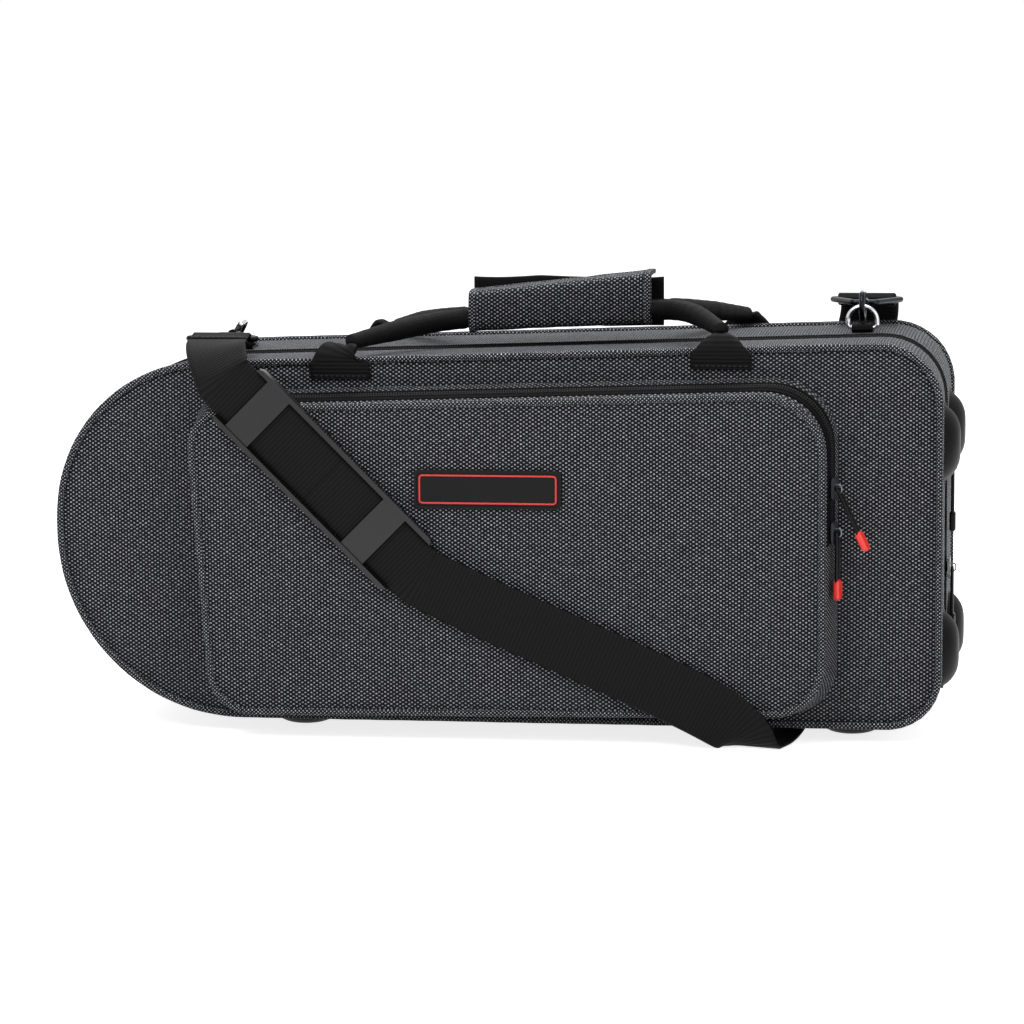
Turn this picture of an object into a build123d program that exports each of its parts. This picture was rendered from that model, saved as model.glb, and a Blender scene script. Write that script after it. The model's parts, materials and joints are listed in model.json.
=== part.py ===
"""Soft trumpet case that stands on its long side: a zipped two-part shell with a front pocket,
a pair of wrapped carrying handles and a webbing shoulder strap on two snap hooks."""

from build123d import *
from math import atan2, cos, degrees, radians, sin, sqrt, tan
import os

os.makedirs("parts", exist_ok=True)

# ---------------------------------------------------------------- driving dimensions (mm)
case_length = 556.0  # shell, from the round bell end to the flat end
bell_height = 219.5  # shell height at the bell end, before its corners are rounded
end_height = 238.0  # shell height at the flat end
lid_depth = 84.0  # front half, with the pocket
base_depth = 100.0  # back half, which holds the instrument
bell_lower_radius = 117.0
bell_end_flat = 5.5  # straight run between the bell end's two corners
bell_upper_radius = bell_height - bell_lower_radius - bell_end_flat
end_upper_radius = 38.0
end_lower_radius = 32.0
wall = 8.0  # foam-cored side walls
panel = 8.0  # foam-cored front and back panels
piping_radius = 2.25

foot_radius = 25.0
foot_height = 11.0
foot_flange = 1.6
foot_flat_radius = 7.0
foot_rows_x = (-128.0, 222.0)
foot_rows_z = (54.0, 184.0)

zip_tape_width = 11.0
zip_tape_thickness = 0.8
zip_coil_width = 2.4
zip_coil_height = 1.8
zip_end_height = 48.0  # the main zipper stops this high above the hinge
hinge_thickness = 0.8
hinge_width = 12.0
seam_gap = 0.15  # each side of the parting plane

pocket_depth = 28.0
pocket_fabric = 2.0
pocket_panel_thickness = 3.0
pocket_zip_start = 0.30  # share of the pocket's depth, from the lid outwards
pocket_zip_end = 0.74

badge_length = 92.0
badge_height = 24.0
badge_thickness = 2.0
badge_rim = 1.6
badge_centre = (1.0, 159.8)

tab_width = 38.0
tab_thickness = 2.4
tab_drop = 11.5  # below the shell's top edge
left_tab_x = -96.0
right_tab_x = 143.0
handle_radius = 6.0
left_pivot = (-90.0, 11.245)  # X, height above the shell's top edge
right_pivot = (143.0, 12.492)
left_grip = (-35.0, 19.015)
right_grip = (102.0, 21.256)
grip_overhang = 10.0  # the tubes run straight this far past each end of the wrap
grip_wall = 2.4
pivot_inset = 2.0  # handle pivots stand this far inside the front and back faces
grip_gap = 16.0  # between the two handle tubes' centre lines

strap_width = 38.0
strap_thickness = 2.0
eye_rod_radius = 1.9
pad_length = 152.0
pad_width = 45.0
pad_height = 8.0
pad_base = 2.0
pad_rail = 3.0
pad_centre = (-101.7, 165.5)  # X, Z
pad_angle = -45.0

ring_rod_radius = 1.4
ring_width = 18.6
ring_height = 13.4
ring_bar_y = 10.0
left_ring_x = -180.0
right_ring_x = 224.0
left_ring_lean = 60.0  # towards the front
claw_radius = 9.0
claw_rod_radius = 1.9
gate_rod_radius = 1.4
barrel_radius = 3.4
barrel_length = 9.0
eye_reach = 30.0  # from the barrel's end to the eye's far bar

liner = 6.0  # plush-covered foam pad on the inside of the lid and the floor of the base
insert_gap = 0.3
insert_face_drop = 10.0  # the insert ends this far below the parting plane
bin_lid_thickness = 3.5

running_gap = 0.3

# ---------------------------------------------------------------- derived places
parting_y = (lid_depth - base_depth) / 2
front_y = parting_y - lid_depth
back_y = parting_y + base_depth
left_x = -case_length / 2
right_x = case_length / 2
floor_z = foot_height  # underside of the shell
pocket_front_y = front_y - pocket_depth
top_slope = (end_height - bell_height) / case_length

# The shoulder strap lies furthest forward on its pad and furthest back on its slack run.
pad_back_y = pocket_front_y - piping_radius - running_gap
back_run_y = back_y + piping_radius + strap_thickness + 4.0
back_reach = back_run_y + 8.0
origin_x = (right_x + foot_height + left_x - piping_radius) / 2
origin_y = (pad_back_y - pad_height + back_reach) / 2


def facing_front(y: float) -> Plane:
    """Sketch plane at a depth, seen from the front: X runs right and Y runs up."""
    return Plane.XZ.offset(-y)


def top_z(x: float) -> float:
    """Height of the shell's sloping top edge."""
    return floor_z + bell_height + (x - left_x) * top_slope


def over_top(place):
    """X and Z of a place given by its X and its height above the sloping top edge."""
    x, lift = place
    return (x, top_z(x) + lift)


handle_left_pivot = over_top(left_pivot)
handle_right_pivot = over_top(right_pivot)
grip_left = over_top(left_grip)
grip_right = over_top(right_grip)


def rounded(corners, radii, inset=0.0) -> Sketch:
    """Closed outline with rounded corners, drawn in by inset."""
    with BuildSketch() as outline:
        with BuildLine():
            FilletPolyline(*corners, radius=list(radii), close=True)
        make_face()
        if inset:
            offset(amount=-inset, kind=Kind.INTERSECTION, mode=Mode.REPLACE)
    return outline.sketch


case_corners = (
    (left_x, floor_z),
    (right_x, floor_z),
    (right_x, floor_z + end_height),
    (left_x, floor_z + bell_height),
)
case_radii = (bell_lower_radius, end_lower_radius, end_upper_radius, bell_upper_radius)


def case_outline(inset=0.0) -> Sketch:
    """The shell seen from the front."""
    return rounded(case_corners, case_radii, inset)


def write(part: Part, name: str):
    """Centre a finished piece over the floor's origin, label it and save it under its name."""
    centred = part.moved(Location((-origin_x, -origin_y, 0)))
    centred.label = name
    export_step(centred, f"parts/{name}.step")


def bead(corners, radii, y: float) -> Part:
    """Fat fabric piping along a rounded outline at one depth."""
    with BuildPart() as cord:
        with BuildLine(facing_front(y)) as path:
            FilletPolyline(*corners, radius=list(radii), close=True)
        with BuildSketch(Plane(path.line @ 0, z_dir=path.line % 0)):
            Circle(piping_radius)
        sweep()
    return cord.part


def shell(depth: float, toward: int, inner_panel: float) -> Part:
    """Open tray of one half, from the parting plane to its panel, with a seat for the piping."""
    outer_y = parting_y + toward * depth
    with BuildPart() as tray:
        with BuildSketch(facing_front(parting_y + toward * seam_gap)):
            add(case_outline())
        extrude(amount=depth - seam_gap, dir=(0, toward, 0))
        with BuildSketch(facing_front(parting_y)):
            add(case_outline(wall))
        extrude(amount=depth - inner_panel, dir=(0, toward, 0), mode=Mode.SUBTRACT)
        rim = tray.faces().filter_by(lambda face: abs(face.center().Y - outer_y) < 0.01)
        chamfer(rim.edges(), length=piping_radius * sqrt(2) + 0.02)
    return tray.part


def zipper_half(toward: int) -> Part:
    """Tape and coil of the main zipper on one half, round every side but the hinge side."""
    near_y = parting_y + toward * seam_gap
    with BuildPart() as tape:
        with BuildSketch(facing_front(near_y)):
            add(case_outline(-zip_tape_thickness))
            add(case_outline(), mode=Mode.SUBTRACT)
        extrude(amount=zip_tape_width, dir=(0, toward, 0))
        with BuildSketch(facing_front(near_y)):
            add(case_outline(-zip_coil_height))
            add(case_outline(), mode=Mode.SUBTRACT)
        extrude(amount=zip_coil_width, dir=(0, toward, 0))
        with BuildSketch(Plane.XY):
            Rectangle(2 * case_length, 2 * (lid_depth + base_depth))
        extrude(amount=floor_z + zip_end_height, mode=Mode.SUBTRACT)
    return tape.part


def feet(places, outward) -> Part:
    """Domed rubber feet with a thin flange, one solid for each place."""
    with BuildPart() as dome:
        with BuildSketch(Plane.XZ):
            with BuildLine():
                rim = Polyline(
                    (foot_flat_radius, foot_height),
                    (0, foot_height),
                    (0, 0),
                    (foot_radius, 0),
                    (foot_radius, foot_flange),
                    (foot_radius - foot_flange, foot_flange),
                )
                TangentArc(rim @ 0, rim @ 1, tangent=(1, 0))
            make_face()
        revolve(axis=Axis.Z)
    with BuildPart() as group:
        with Locations(*[Plane(origin=place, z_dir=outward) for place in places]):
            add(dome.part)
    return group.part


def ribbon(stations, width=strap_width, thickness=strap_thickness) -> Part:
    """Flat webbing through stations of (centre, direction of its width, direction it runs)."""
    with BuildPart() as band:
        for centre, across, along in stations:
            with BuildSketch(Plane(origin=centre, x_dir=across, z_dir=along)):
                Rectangle(width, thickness)
        loft(ruled=True)
    return band.part


# ---------------------------------------------------------------- shells, piping, zipper, hinge
lid_shell = shell(lid_depth, -1, panel)
write(lid_shell, "lid_shell")
base_shell = shell(base_depth, 1, panel)
write(base_shell, "base_shell")

lid_piping = bead(case_corners, case_radii, front_y)
write(lid_piping, "lid_piping")
base_piping = bead(case_corners, case_radii, back_y)
write(base_piping, "base_piping")

write(zipper_half(-1), "main_zipper_lid_side")
write(zipper_half(1), "main_zipper_base_side")

hinge_left_x = left_x + bell_lower_radius
hinge_right_x = right_x - end_lower_radius
hinge_length = hinge_right_x - hinge_left_x
hinge_middle_x = (hinge_left_x + hinge_right_x) / 2
for side, toward in (("lid", -1), ("base", 1)):
    with BuildPart() as hinge_half:
        with BuildSketch(Plane.XY.offset(floor_z - hinge_thickness)):
            with Locations((hinge_middle_x, parting_y + toward * (hinge_width / 2 + seam_gap))):
                Rectangle(hinge_length, hinge_width)
        extrude(amount=hinge_thickness)
    write(hinge_half.part, f"hinge_tape_{side}_side")

# ---------------------------------------------------------------- feet
lid_foot_y = parting_y - lid_depth / 2
base_foot_y = parting_y + base_depth / 2
for side, foot_y in (("lid", lid_foot_y), ("base", base_foot_y)):
    bottom_places = [(x, foot_y, floor_z) for x in foot_rows_x]
    end_places = [(right_x, foot_y, z) for z in foot_rows_z]
    write(feet(bottom_places, (0, 0, -1)), f"{side}_bottom_feet")
    write(feet(end_places, (1, 0, 0)), f"{side}_end_feet")

# ---------------------------------------------------------------- pocket
pocket_base_corners = ((-178.0, 16.0), (216.0, 17.5), (216.0, 229.5), (-191.0, 217.0))
pocket_face_corners = ((-174.0, 17.5), (207.5, 22.0), (207.5, 219.5), (-188.0, 207.0))
pocket_radii = (26.0, 32.0, 38.0, 24.0)


def pocket_corners(share: float):
    """Pocket outline at a share of its depth: 0 on the lid, 1 at its face."""
    return [
        (bx + (fx - bx) * share, bz + (fz - bz) * share)
        for (bx, bz), (fx, fz) in zip(pocket_base_corners, pocket_face_corners)
    ]


def pocket_outline(share: float, inset=0.0) -> Sketch:
    """Rounded pocket outline at a share of its depth."""
    return rounded(pocket_corners(share), pocket_radii, inset)


def pocket_y(share: float) -> float:
    """Depth of the pocket's wall at a share of its height above the lid."""
    return front_y - pocket_depth * share


gusset_end = 1 - piping_radius / pocket_depth
with BuildPart() as pocket_gusset:
    for share in (0.0, gusset_end):
        with BuildSketch(facing_front(pocket_y(share))):
            add(pocket_outline(share))
    loft(ruled=True)
    for share in (0.0, gusset_end):
        with BuildSketch(facing_front(pocket_y(share))):
            add(pocket_outline(share, pocket_fabric))
    loft(ruled=True, mode=Mode.SUBTRACT)
write(pocket_gusset.part, "pocket_gusset")

with BuildPart() as pocket_panel:
    with BuildSketch(facing_front(pocket_front_y + pocket_panel_thickness / 2)):
        add(pocket_outline(1.0, piping_radius))
    extrude(amount=pocket_panel_thickness)
write(pocket_panel.part, "pocket_panel")

write(bead(pocket_corners(1.0), pocket_radii, pocket_front_y), "pocket_piping")

zip_left_x = -150.0  # the pocket zipper runs from here over the top
zip_stop_z = 126.0  # and down the right side to here
coil_share = (pocket_zip_start + pocket_zip_end) / 2
coil_half_share = zip_coil_width / pocket_depth / 2
with BuildPart() as pocket_zipper:
    for share in (pocket_zip_start, pocket_zip_end):
        with BuildSketch(facing_front(pocket_y(share))):
            add(pocket_outline(share, -zip_tape_thickness))
    loft(ruled=True)
    for share in (coil_share - coil_half_share, coil_share + coil_half_share):
        with BuildSketch(facing_front(pocket_y(share))):
            add(pocket_outline(share, -zip_coil_height))
    loft(ruled=True)
    for share in (0.0, 1.0):
        with BuildSketch(facing_front(pocket_y(share))):
            add(pocket_outline(share))
    loft(ruled=True, mode=Mode.SUBTRACT)
    with BuildSketch(facing_front(pocket_y(0.0))):
        with BuildLine():
            Polyline(
                (left_x, 0),
                (right_x, 0),
                (right_x, zip_stop_z),
                (0, zip_stop_z),
                (zip_left_x, zip_stop_z),
                (zip_left_x, 2 * end_height),
                (left_x, 2 * end_height),
                close=True,
            )
        make_face()
    extrude(amount=pocket_depth, mode=Mode.SUBTRACT)
write(pocket_zipper.part, "pocket_zipper")

# ---------------------------------------------------------------- rubber badge, left plain
badge_back_y = pocket_front_y - pocket_panel_thickness / 2
with BuildPart() as badge:
    with BuildSketch(facing_front(badge_back_y)):
        with Locations(badge_centre):
            RectangleRounded(badge_length, badge_height, 3)
    extrude(amount=badge_thickness)
    with BuildSketch(facing_front(badge_back_y - badge_thickness)):
        with Locations(badge_centre):
            RectangleRounded(badge_length - 2 * badge_rim, badge_height - 2 * badge_rim, 2)
    extrude(amount=-badge_thickness / 3, mode=Mode.SUBTRACT)
write(badge.part, "badge")

# ---------------------------------------------------------------- inside of the case
lid_liner_inset = wall + 8.0
with BuildPart() as lid_liner:
    with BuildSketch(facing_front(front_y + panel)):
        add(case_outline(lid_liner_inset))
    extrude(amount=-liner)
    soft_rim = lid_liner.faces().sort_by(Axis.Y)[-1]
    fillet(soft_rim.edges(), radius=liner * 0.6)
write(lid_liner.part, "lid_liner")

insert_front_y = parting_y + insert_face_drop
insert_back_y = back_y - panel - liner
with BuildPart() as base_liner:
    with BuildSketch(facing_front(insert_back_y)):
        add(case_outline(wall + insert_gap))
    extrude(amount=-liner)
write(base_liner.part, "base_liner")

# The trumpet lies with its bell at the round end: bell flare, bell throat, valves, tuning slide.
bell_pocket = ((left_x + 72.0, 126.0), (112.0, 142.0), 50.0)  # centre, size, corner radius
valve_pocket = ((4.0, 122.0), (112.0, 172.0), 16.0)
slide_left_x = 42.0
slide_right_x = right_x - 20.0
slide_length = slide_right_x - slide_left_x
slide_channel = (((slide_left_x + slide_right_x) / 2, 112.0), (slide_length, 92.0), 26.0)
throat_wide = 108.0  # across the throat where it leaves the bell pocket
throat_narrow = 62.0
accessory_bin = ((right_x - 110.0, 199.0), (150.0, 46.0), 8.0)
insert_split_z = 122.0


def cavity_outline() -> Sketch:
    """Openings through the foam insert, seen from the front."""
    throat_left = bell_pocket[0][0]
    throat_right = valve_pocket[0][0]
    middle = bell_pocket[0][1]
    with BuildSketch() as cavity:
        for centre, size, corner in (bell_pocket, valve_pocket, slide_channel, accessory_bin):
            with Locations(centre):
                RectangleRounded(*size, corner)
        with BuildLine():
            Polyline(
                (throat_left, middle - throat_wide / 2),
                (throat_right, middle - throat_narrow / 2),
                (throat_right, middle + throat_narrow / 2),
                (throat_left, middle + throat_wide / 2),
                close=True,
            )
        make_face()
    return cavity.sketch


for half, keep in (("upper", Keep.TOP), ("lower", Keep.BOTTOM)):
    with BuildPart() as insert:
        with BuildSketch(facing_front(insert_front_y)):
            add(case_outline(wall + insert_gap))
            add(cavity_outline(), mode=Mode.SUBTRACT)
        extrude(amount=-(insert_back_y - insert_front_y))
        split(bisect_by=Plane.XY.offset(insert_split_z), keep=keep)
    write(insert.part, f"foam_insert_{half}")

bin_lid_margin = 5.0
(bin_x, bin_z), (bin_length, bin_width), bin_corner = accessory_bin
bin_lid_back_y = insert_front_y - running_gap
bin_hinge_z = bin_z - bin_width / 2 - bin_lid_margin
with BuildPart() as bin_lid:
    with BuildSketch(facing_front(bin_lid_back_y)):
        with Locations((bin_x, bin_z)):
            RectangleRounded(bin_length + 2 * bin_lid_margin, bin_width + 2 * bin_lid_margin, 4)
        with Locations((bin_x, bin_z + bin_width / 2 + bin_lid_margin)):
            RectangleRounded(24, 14, 4)
    extrude(amount=bin_lid_thickness)
write(bin_lid.part, "accessory_bin_lid")

# ---------------------------------------------------------------- carrying handles
front_pivot_y = front_y + pivot_inset
rear_pivot_y = back_y - pivot_inset
front_tube_y = parting_y - grip_gap / 2
rear_tube_y = parting_y + grip_gap / 2


def handle(pivot_y: float, grip_y: float) -> Part:
    """Rolled webbing loop from one tab through the grip to the other tab, with rounded ends."""
    (lx, lz), (rx, rz) = handle_left_pivot, handle_right_pivot
    (gl, glz), (gr, grz) = grip_left, grip_right
    points = (
        (lx, pivot_y, lz),
        ((lx + gl) / 2, (pivot_y + grip_y) / 2, (lz + glz) / 2 + 1.0),
        (gl, grip_y, glz),
        (gr, grip_y, grz),
        ((gr + rx) / 2, (pivot_y + grip_y) / 2, (grz + rz) / 2 + 4.0),
        (rx, pivot_y, rz),
    )
    with BuildPart() as loop:
        with BuildLine() as path:
            FilletPolyline(*points, radius=[30, 16, 16, 30])
        with BuildSketch(Plane(path.line @ 0, z_dir=path.line % 0)):
            Circle(handle_radius)
        sweep()
        with Locations(points[0], points[-1]):
            Sphere(handle_radius)
    return loop.part


def handle_tabs(face_y: float, pivot_y: float, toward: int) -> Part:
    """Two webbing tabs sewn over the piping, each drawn in to a neck under the handle's pivot."""
    proud_y = face_y + toward * (piping_radius + 0.4 + tab_thickness / 2)
    with BuildPart() as tabs:
        for tab_x, (pivot_x, pivot_z) in (
            (left_tab_x, handle_left_pivot),
            (right_tab_x, handle_right_pivot),
        ):
            edge_z = top_z(tab_x)
            stations = (
                ((tab_x, face_y + toward * (tab_thickness / 2 + 0.1), edge_z - tab_drop), tab_width),
                ((tab_x, proud_y, edge_z - 3.0), tab_width - 1.0),
                ((tab_x, proud_y, edge_z + 3.0), tab_width - 8.0),
            )
            for (low, low_width), (high, high_width) in zip(stations, stations[1:]):
                for place, width in ((low, low_width), (high, high_width)):
                    with BuildSketch(Plane(origin=place, x_dir=(1, 0, 0), z_dir=(0, 0, 1))):
                        Rectangle(width, tab_thickness)
                loft(ruled=True)
            with BuildSketch(Plane(origin=stations[-1][0])):
                Rectangle(stations[-1][1], tab_thickness)
            neck_z = pivot_z - handle_radius - 0.4
            with BuildSketch(Plane(origin=(pivot_x, pivot_y, neck_z))):
                RectangleRounded(2 * handle_radius, 1.5 * handle_radius, handle_radius * 0.6)
            loft(ruled=True)
    return tabs.part


write(handle_tabs(front_y, front_pivot_y, -1), "front_handle_tabs")
write(handle_tabs(back_y, rear_pivot_y, 1), "rear_handle_tabs")
write(handle(front_pivot_y, front_tube_y), "front_handle")
write(handle(rear_pivot_y, rear_tube_y), "rear_handle")

wrap_front_y = front_tube_y - handle_radius - running_gap - grip_wall
wrap_rear_y = rear_tube_y + handle_radius - running_gap
grip_rise = (grip_right[1] - grip_left[1]) / (grip_right[0] - grip_left[0])
wrap_ends = (
    (grip_left[0] + grip_overhang, 26.0),
    (grip_right[0] - grip_overhang, 33.0),
)  # X, height of the wrap
with BuildPart() as grip_wrap:
    for end_x, height in wrap_ends:
        tube_z = grip_left[1] + (end_x - grip_left[0]) * grip_rise
        low_z = tube_z - handle_radius - running_gap - grip_wall
        with BuildSketch(Plane.YZ.offset(end_x)):
            with BuildLine():
                Polyline(
                    (wrap_front_y, low_z),
                    (wrap_front_y, low_z + height),
                    (wrap_rear_y, low_z + height),
                    (wrap_rear_y, low_z + height - grip_wall),
                    (wrap_front_y + grip_wall, low_z + height - grip_wall),
                    (wrap_front_y + grip_wall, low_z + grip_wall),
                    (front_tube_y, low_z + grip_wall),
                    (front_tube_y, low_z),
                    close=True,
                )
            make_face()
    loft(ruled=True)
write(grip_wrap.part, "grip_wrap")

flap_low_z = grip_left[1] - 5.6
flap_high_z = grip_right[1] + 19.6
with BuildPart() as grip_flap:
    with BuildSketch(facing_front(rear_tube_y + handle_radius + 0.05)):
        with Locations(((wrap_ends[0][0] + wrap_ends[1][0]) / 2, (flap_low_z + flap_high_z) / 2)):
            RectangleRounded(wrap_ends[1][0] - wrap_ends[0][0], flap_high_z - flap_low_z, 3)
    extrude(amount=-grip_wall)
write(grip_flap.part, "grip_flap")

# ---------------------------------------------------------------- rings and snap hooks
seat_rise = 3.2  # two layers of ring tab between the shell and the ring's bar
ring_seat_radius = ring_rod_radius + 0.25
ring_tab_thickness = 1.5
ring_tab_width = 14.0
ring_tab_length = 22.0
left_claw_tilt = 30.0
claw_rise = {"left": 8.789, "right": 14.447}  # swivel axis above the ring's bar
claw_ahead = {"left": -13.6, "right": 3.0}  # from the ring's bar to the claw's centre
rings = {"left": left_ring_x, "right": right_ring_x}
leans = {"left": left_ring_lean, "right": 0.0}
tilts = {"left": left_claw_tilt, "right": 0.0}
sides = {"left": -1, "right": 1}  # which way the strap leaves the hook, along Y


def ring_bar_z(x: float) -> float:
    """Height of a ring's straight bar above the sloping top."""
    return top_z(x) + seat_rise + ring_tab_thickness / 2


claw_lift = {side: ring_bar_z(x) + claw_rise[side] for side, x in rings.items()}


def d_ring(x: float, lean: float) -> Part:
    """Wire D-ring standing on its straight bar, leaned towards the front."""
    facing = (0, -cos(radians(lean)), -sin(radians(lean)))
    seat = Plane(origin=(x, ring_bar_y, ring_bar_z(x)), x_dir=(1, 0, 0), z_dir=facing)
    half = ring_width / 2
    corners = ((-half, 0), (half, 0), (half, ring_height), (-half, ring_height))
    with BuildPart() as ring:
        with BuildLine(seat) as path:
            FilletPolyline(*corners, radius=[2.6, 2.6, half - 0.2, half - 0.2], close=True)
        with BuildSketch(Plane(path.line @ 0, z_dir=path.line % 0)):
            Circle(ring_rod_radius)
        sweep()
    return ring.part


def ring_tab(x: float) -> Part:
    """Narrow webbing folded round a ring's bar and stitched to the shell behind it."""
    bar_z = ring_bar_z(x)
    outer = ring_seat_radius + ring_tab_thickness
    tail_low = top_z(x) + ring_tab_width / 2 * top_slope + 0.05
    with BuildPart() as tab:
        with BuildSketch(Plane.YZ.offset(x - ring_tab_width / 2)):
            with Locations((ring_bar_y, bar_z)):
                Circle(outer)
            with BuildLine():
                Polyline(
                    (ring_bar_y, bar_z + outer),
                    (ring_bar_y + ring_tab_length, tail_low + 2 * ring_tab_thickness),
                    (ring_bar_y + ring_tab_length, tail_low),
                    (ring_bar_y, tail_low),
                    close=True,
                )
            make_face()
            with BuildLine():
                Polyline(
                    (ring_bar_y - 2 * outer, tail_low),
                    (ring_bar_y + 2 * outer, tail_low),
                    (ring_bar_y + 2 * outer, tail_low - 2 * outer),
                    (ring_bar_y - 2 * outer, tail_low - 2 * outer),
                    close=True,
                )
            make_face(mode=Mode.SUBTRACT)
            with Locations((ring_bar_y, bar_z)):
                Circle(ring_seat_radius, mode=Mode.SUBTRACT)
        extrude(amount=ring_tab_width)
    return tab.part


def claw_plane(side: str) -> Plane:
    """Plane of a claw's hook: X runs along the swivel axis to the strap, Y runs round it."""
    x = rings[side]
    tilt = radians(tilts[side])
    origin = (x, ring_bar_y + claw_ahead[side], claw_lift[side])
    toward = sides[side]
    return Plane(origin=origin, x_dir=(0, toward, 0), z_dir=(toward * cos(tilt), 0, sin(tilt)))


claw_tip_angle = 127.0  # the claw's open end, round its centre from the barrel
gate_hinge_angle = 46.0
gate_tip_gap = 12.0  # between the gate's free end and the claw's tip
hinge_setback = 14.0  # between the gate's pin and the end of the claw's bar
knuckle_radius = 1.5
knuckle_half = 1.0  # half its length, between the claw's cheeks
cheek_thickness = 0.7
cheek_radius = 1.4
cheek_gap = 0.12
pin_radius = 0.6
pin_bore = 0.7


def on_claw(angle: float):
    """Point on the claw's centre line."""
    return (claw_radius * cos(radians(angle)), claw_radius * sin(radians(angle)))


def hinge_frame(side: str) -> Plane:
    """Plane at the gate's pin, facing along the pin."""
    plane = claw_plane(side)
    pin = plane.from_local_coords((*on_claw(gate_hinge_angle), 0))
    return Plane(origin=pin, x_dir=plane.x_dir, z_dir=plane.z_dir)


def claw(side: str) -> Part:
    """Hooked bar with the swivel barrel it turns in and two cheeks that carry the gate's pin."""
    plane = claw_plane(side)
    bar_end = gate_hinge_angle - hinge_setback
    end_x, end_y = (end - pin for end, pin in zip(on_claw(bar_end), on_claw(gate_hinge_angle)))
    hinge = hinge_frame(side)
    tip = plane.from_local_coords((*on_claw(claw_tip_angle), 0))
    hinge_span = sqrt(end_x**2 + end_y**2)
    hinge_turn = degrees(atan2(end_y, end_x))
    cheek_low = knuckle_half + cheek_gap
    with BuildPart() as hook:
        with BuildSketch(Plane(origin=tip, x_dir=plane.z_dir, z_dir=plane.z_dir.cross(tip - plane.origin))):
            Circle(claw_rod_radius)
        revolve(
            axis=Axis(plane.origin, plane.z_dir), revolution_arc=360 - claw_tip_angle + bar_end
        )
        for low in (cheek_low, -cheek_low - cheek_thickness):
            with BuildSketch(hinge.offset(low)):
                with Locations((end_x / 2, end_y / 2)):
                    SlotCenterToCenter(hinge_span, 2 * cheek_radius, rotation=hinge_turn)
            extrude(amount=cheek_thickness)
        with BuildSketch(hinge.offset(-cheek_low)):
            Circle(pin_radius)
        extrude(amount=2 * cheek_low)
        barrel = Plane(origin=plane.from_local_coords((claw_radius - 0.5, 0, 0)), z_dir=plane.x_dir)
        with BuildSketch(barrel):
            Circle(barrel_radius)
        extrude(amount=barrel_length)
        with BuildSketch(barrel.offset(barrel_length - post_depth)):
            Circle(post_radius + post_clearance)
        extrude(amount=post_depth, mode=Mode.SUBTRACT)
    return hook.part


def gate(side: str) -> Part:
    """Straight sprung gate that closes the claw's mouth, with the knuckle it turns on."""
    plane = claw_plane(side)
    hinge = hinge_frame(side)
    tip = plane.from_local_coords((*on_claw(claw_tip_angle - gate_tip_gap), 0))
    along = (tip - hinge.origin).normalized()
    length = (tip - hinge.origin).length
    rod_start = knuckle_radius + 0.55
    web = Plane(origin=hinge.origin, x_dir=along, z_dir=hinge.z_dir).offset(-knuckle_half)
    with BuildPart() as bar:
        with BuildSketch(web):
            Circle(knuckle_radius)
            with Locations(((rod_start + 0.5) / 2, 0)):
                Rectangle(rod_start + 0.5, 2 * knuckle_radius - 0.8)
            Circle(pin_bore, mode=Mode.SUBTRACT)
        extrude(amount=2 * knuckle_half)
        with BuildSketch(Plane(origin=hinge.origin + along * rod_start, z_dir=along)):
            Circle(gate_rod_radius)
        extrude(amount=length - rod_start)
    return bar.part


post_radius = 2.0
post_depth = 6.0
post_clearance = 0.06
eye_width = 47.0  # between the centres of the far bar's ends
eye_near_width = 14.0


def eye(side: str) -> Part:
    """Wire loop for the strap, on the post that turns in the claw's barrel."""
    plane = claw_plane(side)
    flat = Plane(origin=plane.origin, x_dir=plane.x_dir, z_dir=(0, 0, 1))
    mouth = claw_radius - 0.5 + barrel_length
    near = mouth + 0.5 + eye_rod_radius
    far = near + eye_reach
    corners = (
        (near, -eye_near_width / 2),
        (far, -eye_width / 2),
        (far, eye_width / 2),
        (near, eye_near_width / 2),
    )
    with BuildPart() as loop:
        with BuildLine(flat) as path:
            FilletPolyline(*corners, radius=[4, 2.4, 2.4, 4], close=True)
        with BuildSketch(Plane(path.line @ 0, z_dir=path.line % 0)):
            Circle(eye_rod_radius)
        sweep()
        with BuildSketch(Plane(origin=flat.from_local_coords((near, 0, 0)), z_dir=-flat.x_dir)):
            Circle(post_radius)
        extrude(amount=near - mouth + post_depth - 0.2)
    return loop.part


for side, ring_x in rings.items():
    write(d_ring(ring_x, leans[side]), f"d_ring_{side}")
    write(claw(side), f"hook_claw_{side}")
    write(gate(side), f"hook_gate_{side}")
    write(eye(side), f"hook_eye_{side}")
with BuildPart() as ring_tabs:
    for ring_x in rings.values():
        add(ring_tab(ring_x))
write(ring_tabs.part, "d_ring_tabs")

# ---------------------------------------------------------------- shoulder strap and its pad
loop_seat = eye_rod_radius + 0.25
loop_outer = loop_seat + strap_thickness
sewn_length = 13.0


def eye_bar_y(side: str) -> float:
    """Depth of the eye's far bar, which carries the strap."""
    reach = claw_radius - 0.5 + barrel_length + 0.5 + eye_rod_radius + eye_reach
    return ring_bar_y + claw_ahead[side] + sides[side] * reach


def strap_end(side: str) -> Part:
    """Strap folded round the hook's eye and sewn to itself."""
    toward = sides[side]
    bar_y = eye_bar_y(side)
    bar_z = claw_lift[side]
    with BuildPart() as fold:
        with BuildSketch(Plane.YZ.offset(rings[side] - strap_width / 2)):
            with Locations((bar_y, bar_z)):
                Circle(loop_outer)
            with BuildLine():
                Polyline(
                    (bar_y, bar_z + loop_outer),
                    (bar_y + toward * sewn_length, bar_z + strap_thickness),
                    (bar_y + toward * sewn_length, bar_z - strap_thickness),
                    (bar_y, bar_z - loop_outer),
                    close=True,
                )
            make_face()
            with Locations((bar_y, bar_z)):
                Circle(loop_seat, mode=Mode.SUBTRACT)
        extrude(amount=strap_width)
    return fold.part


for side in rings:
    write(strap_end(side), f"strap_end_{side}")

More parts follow.
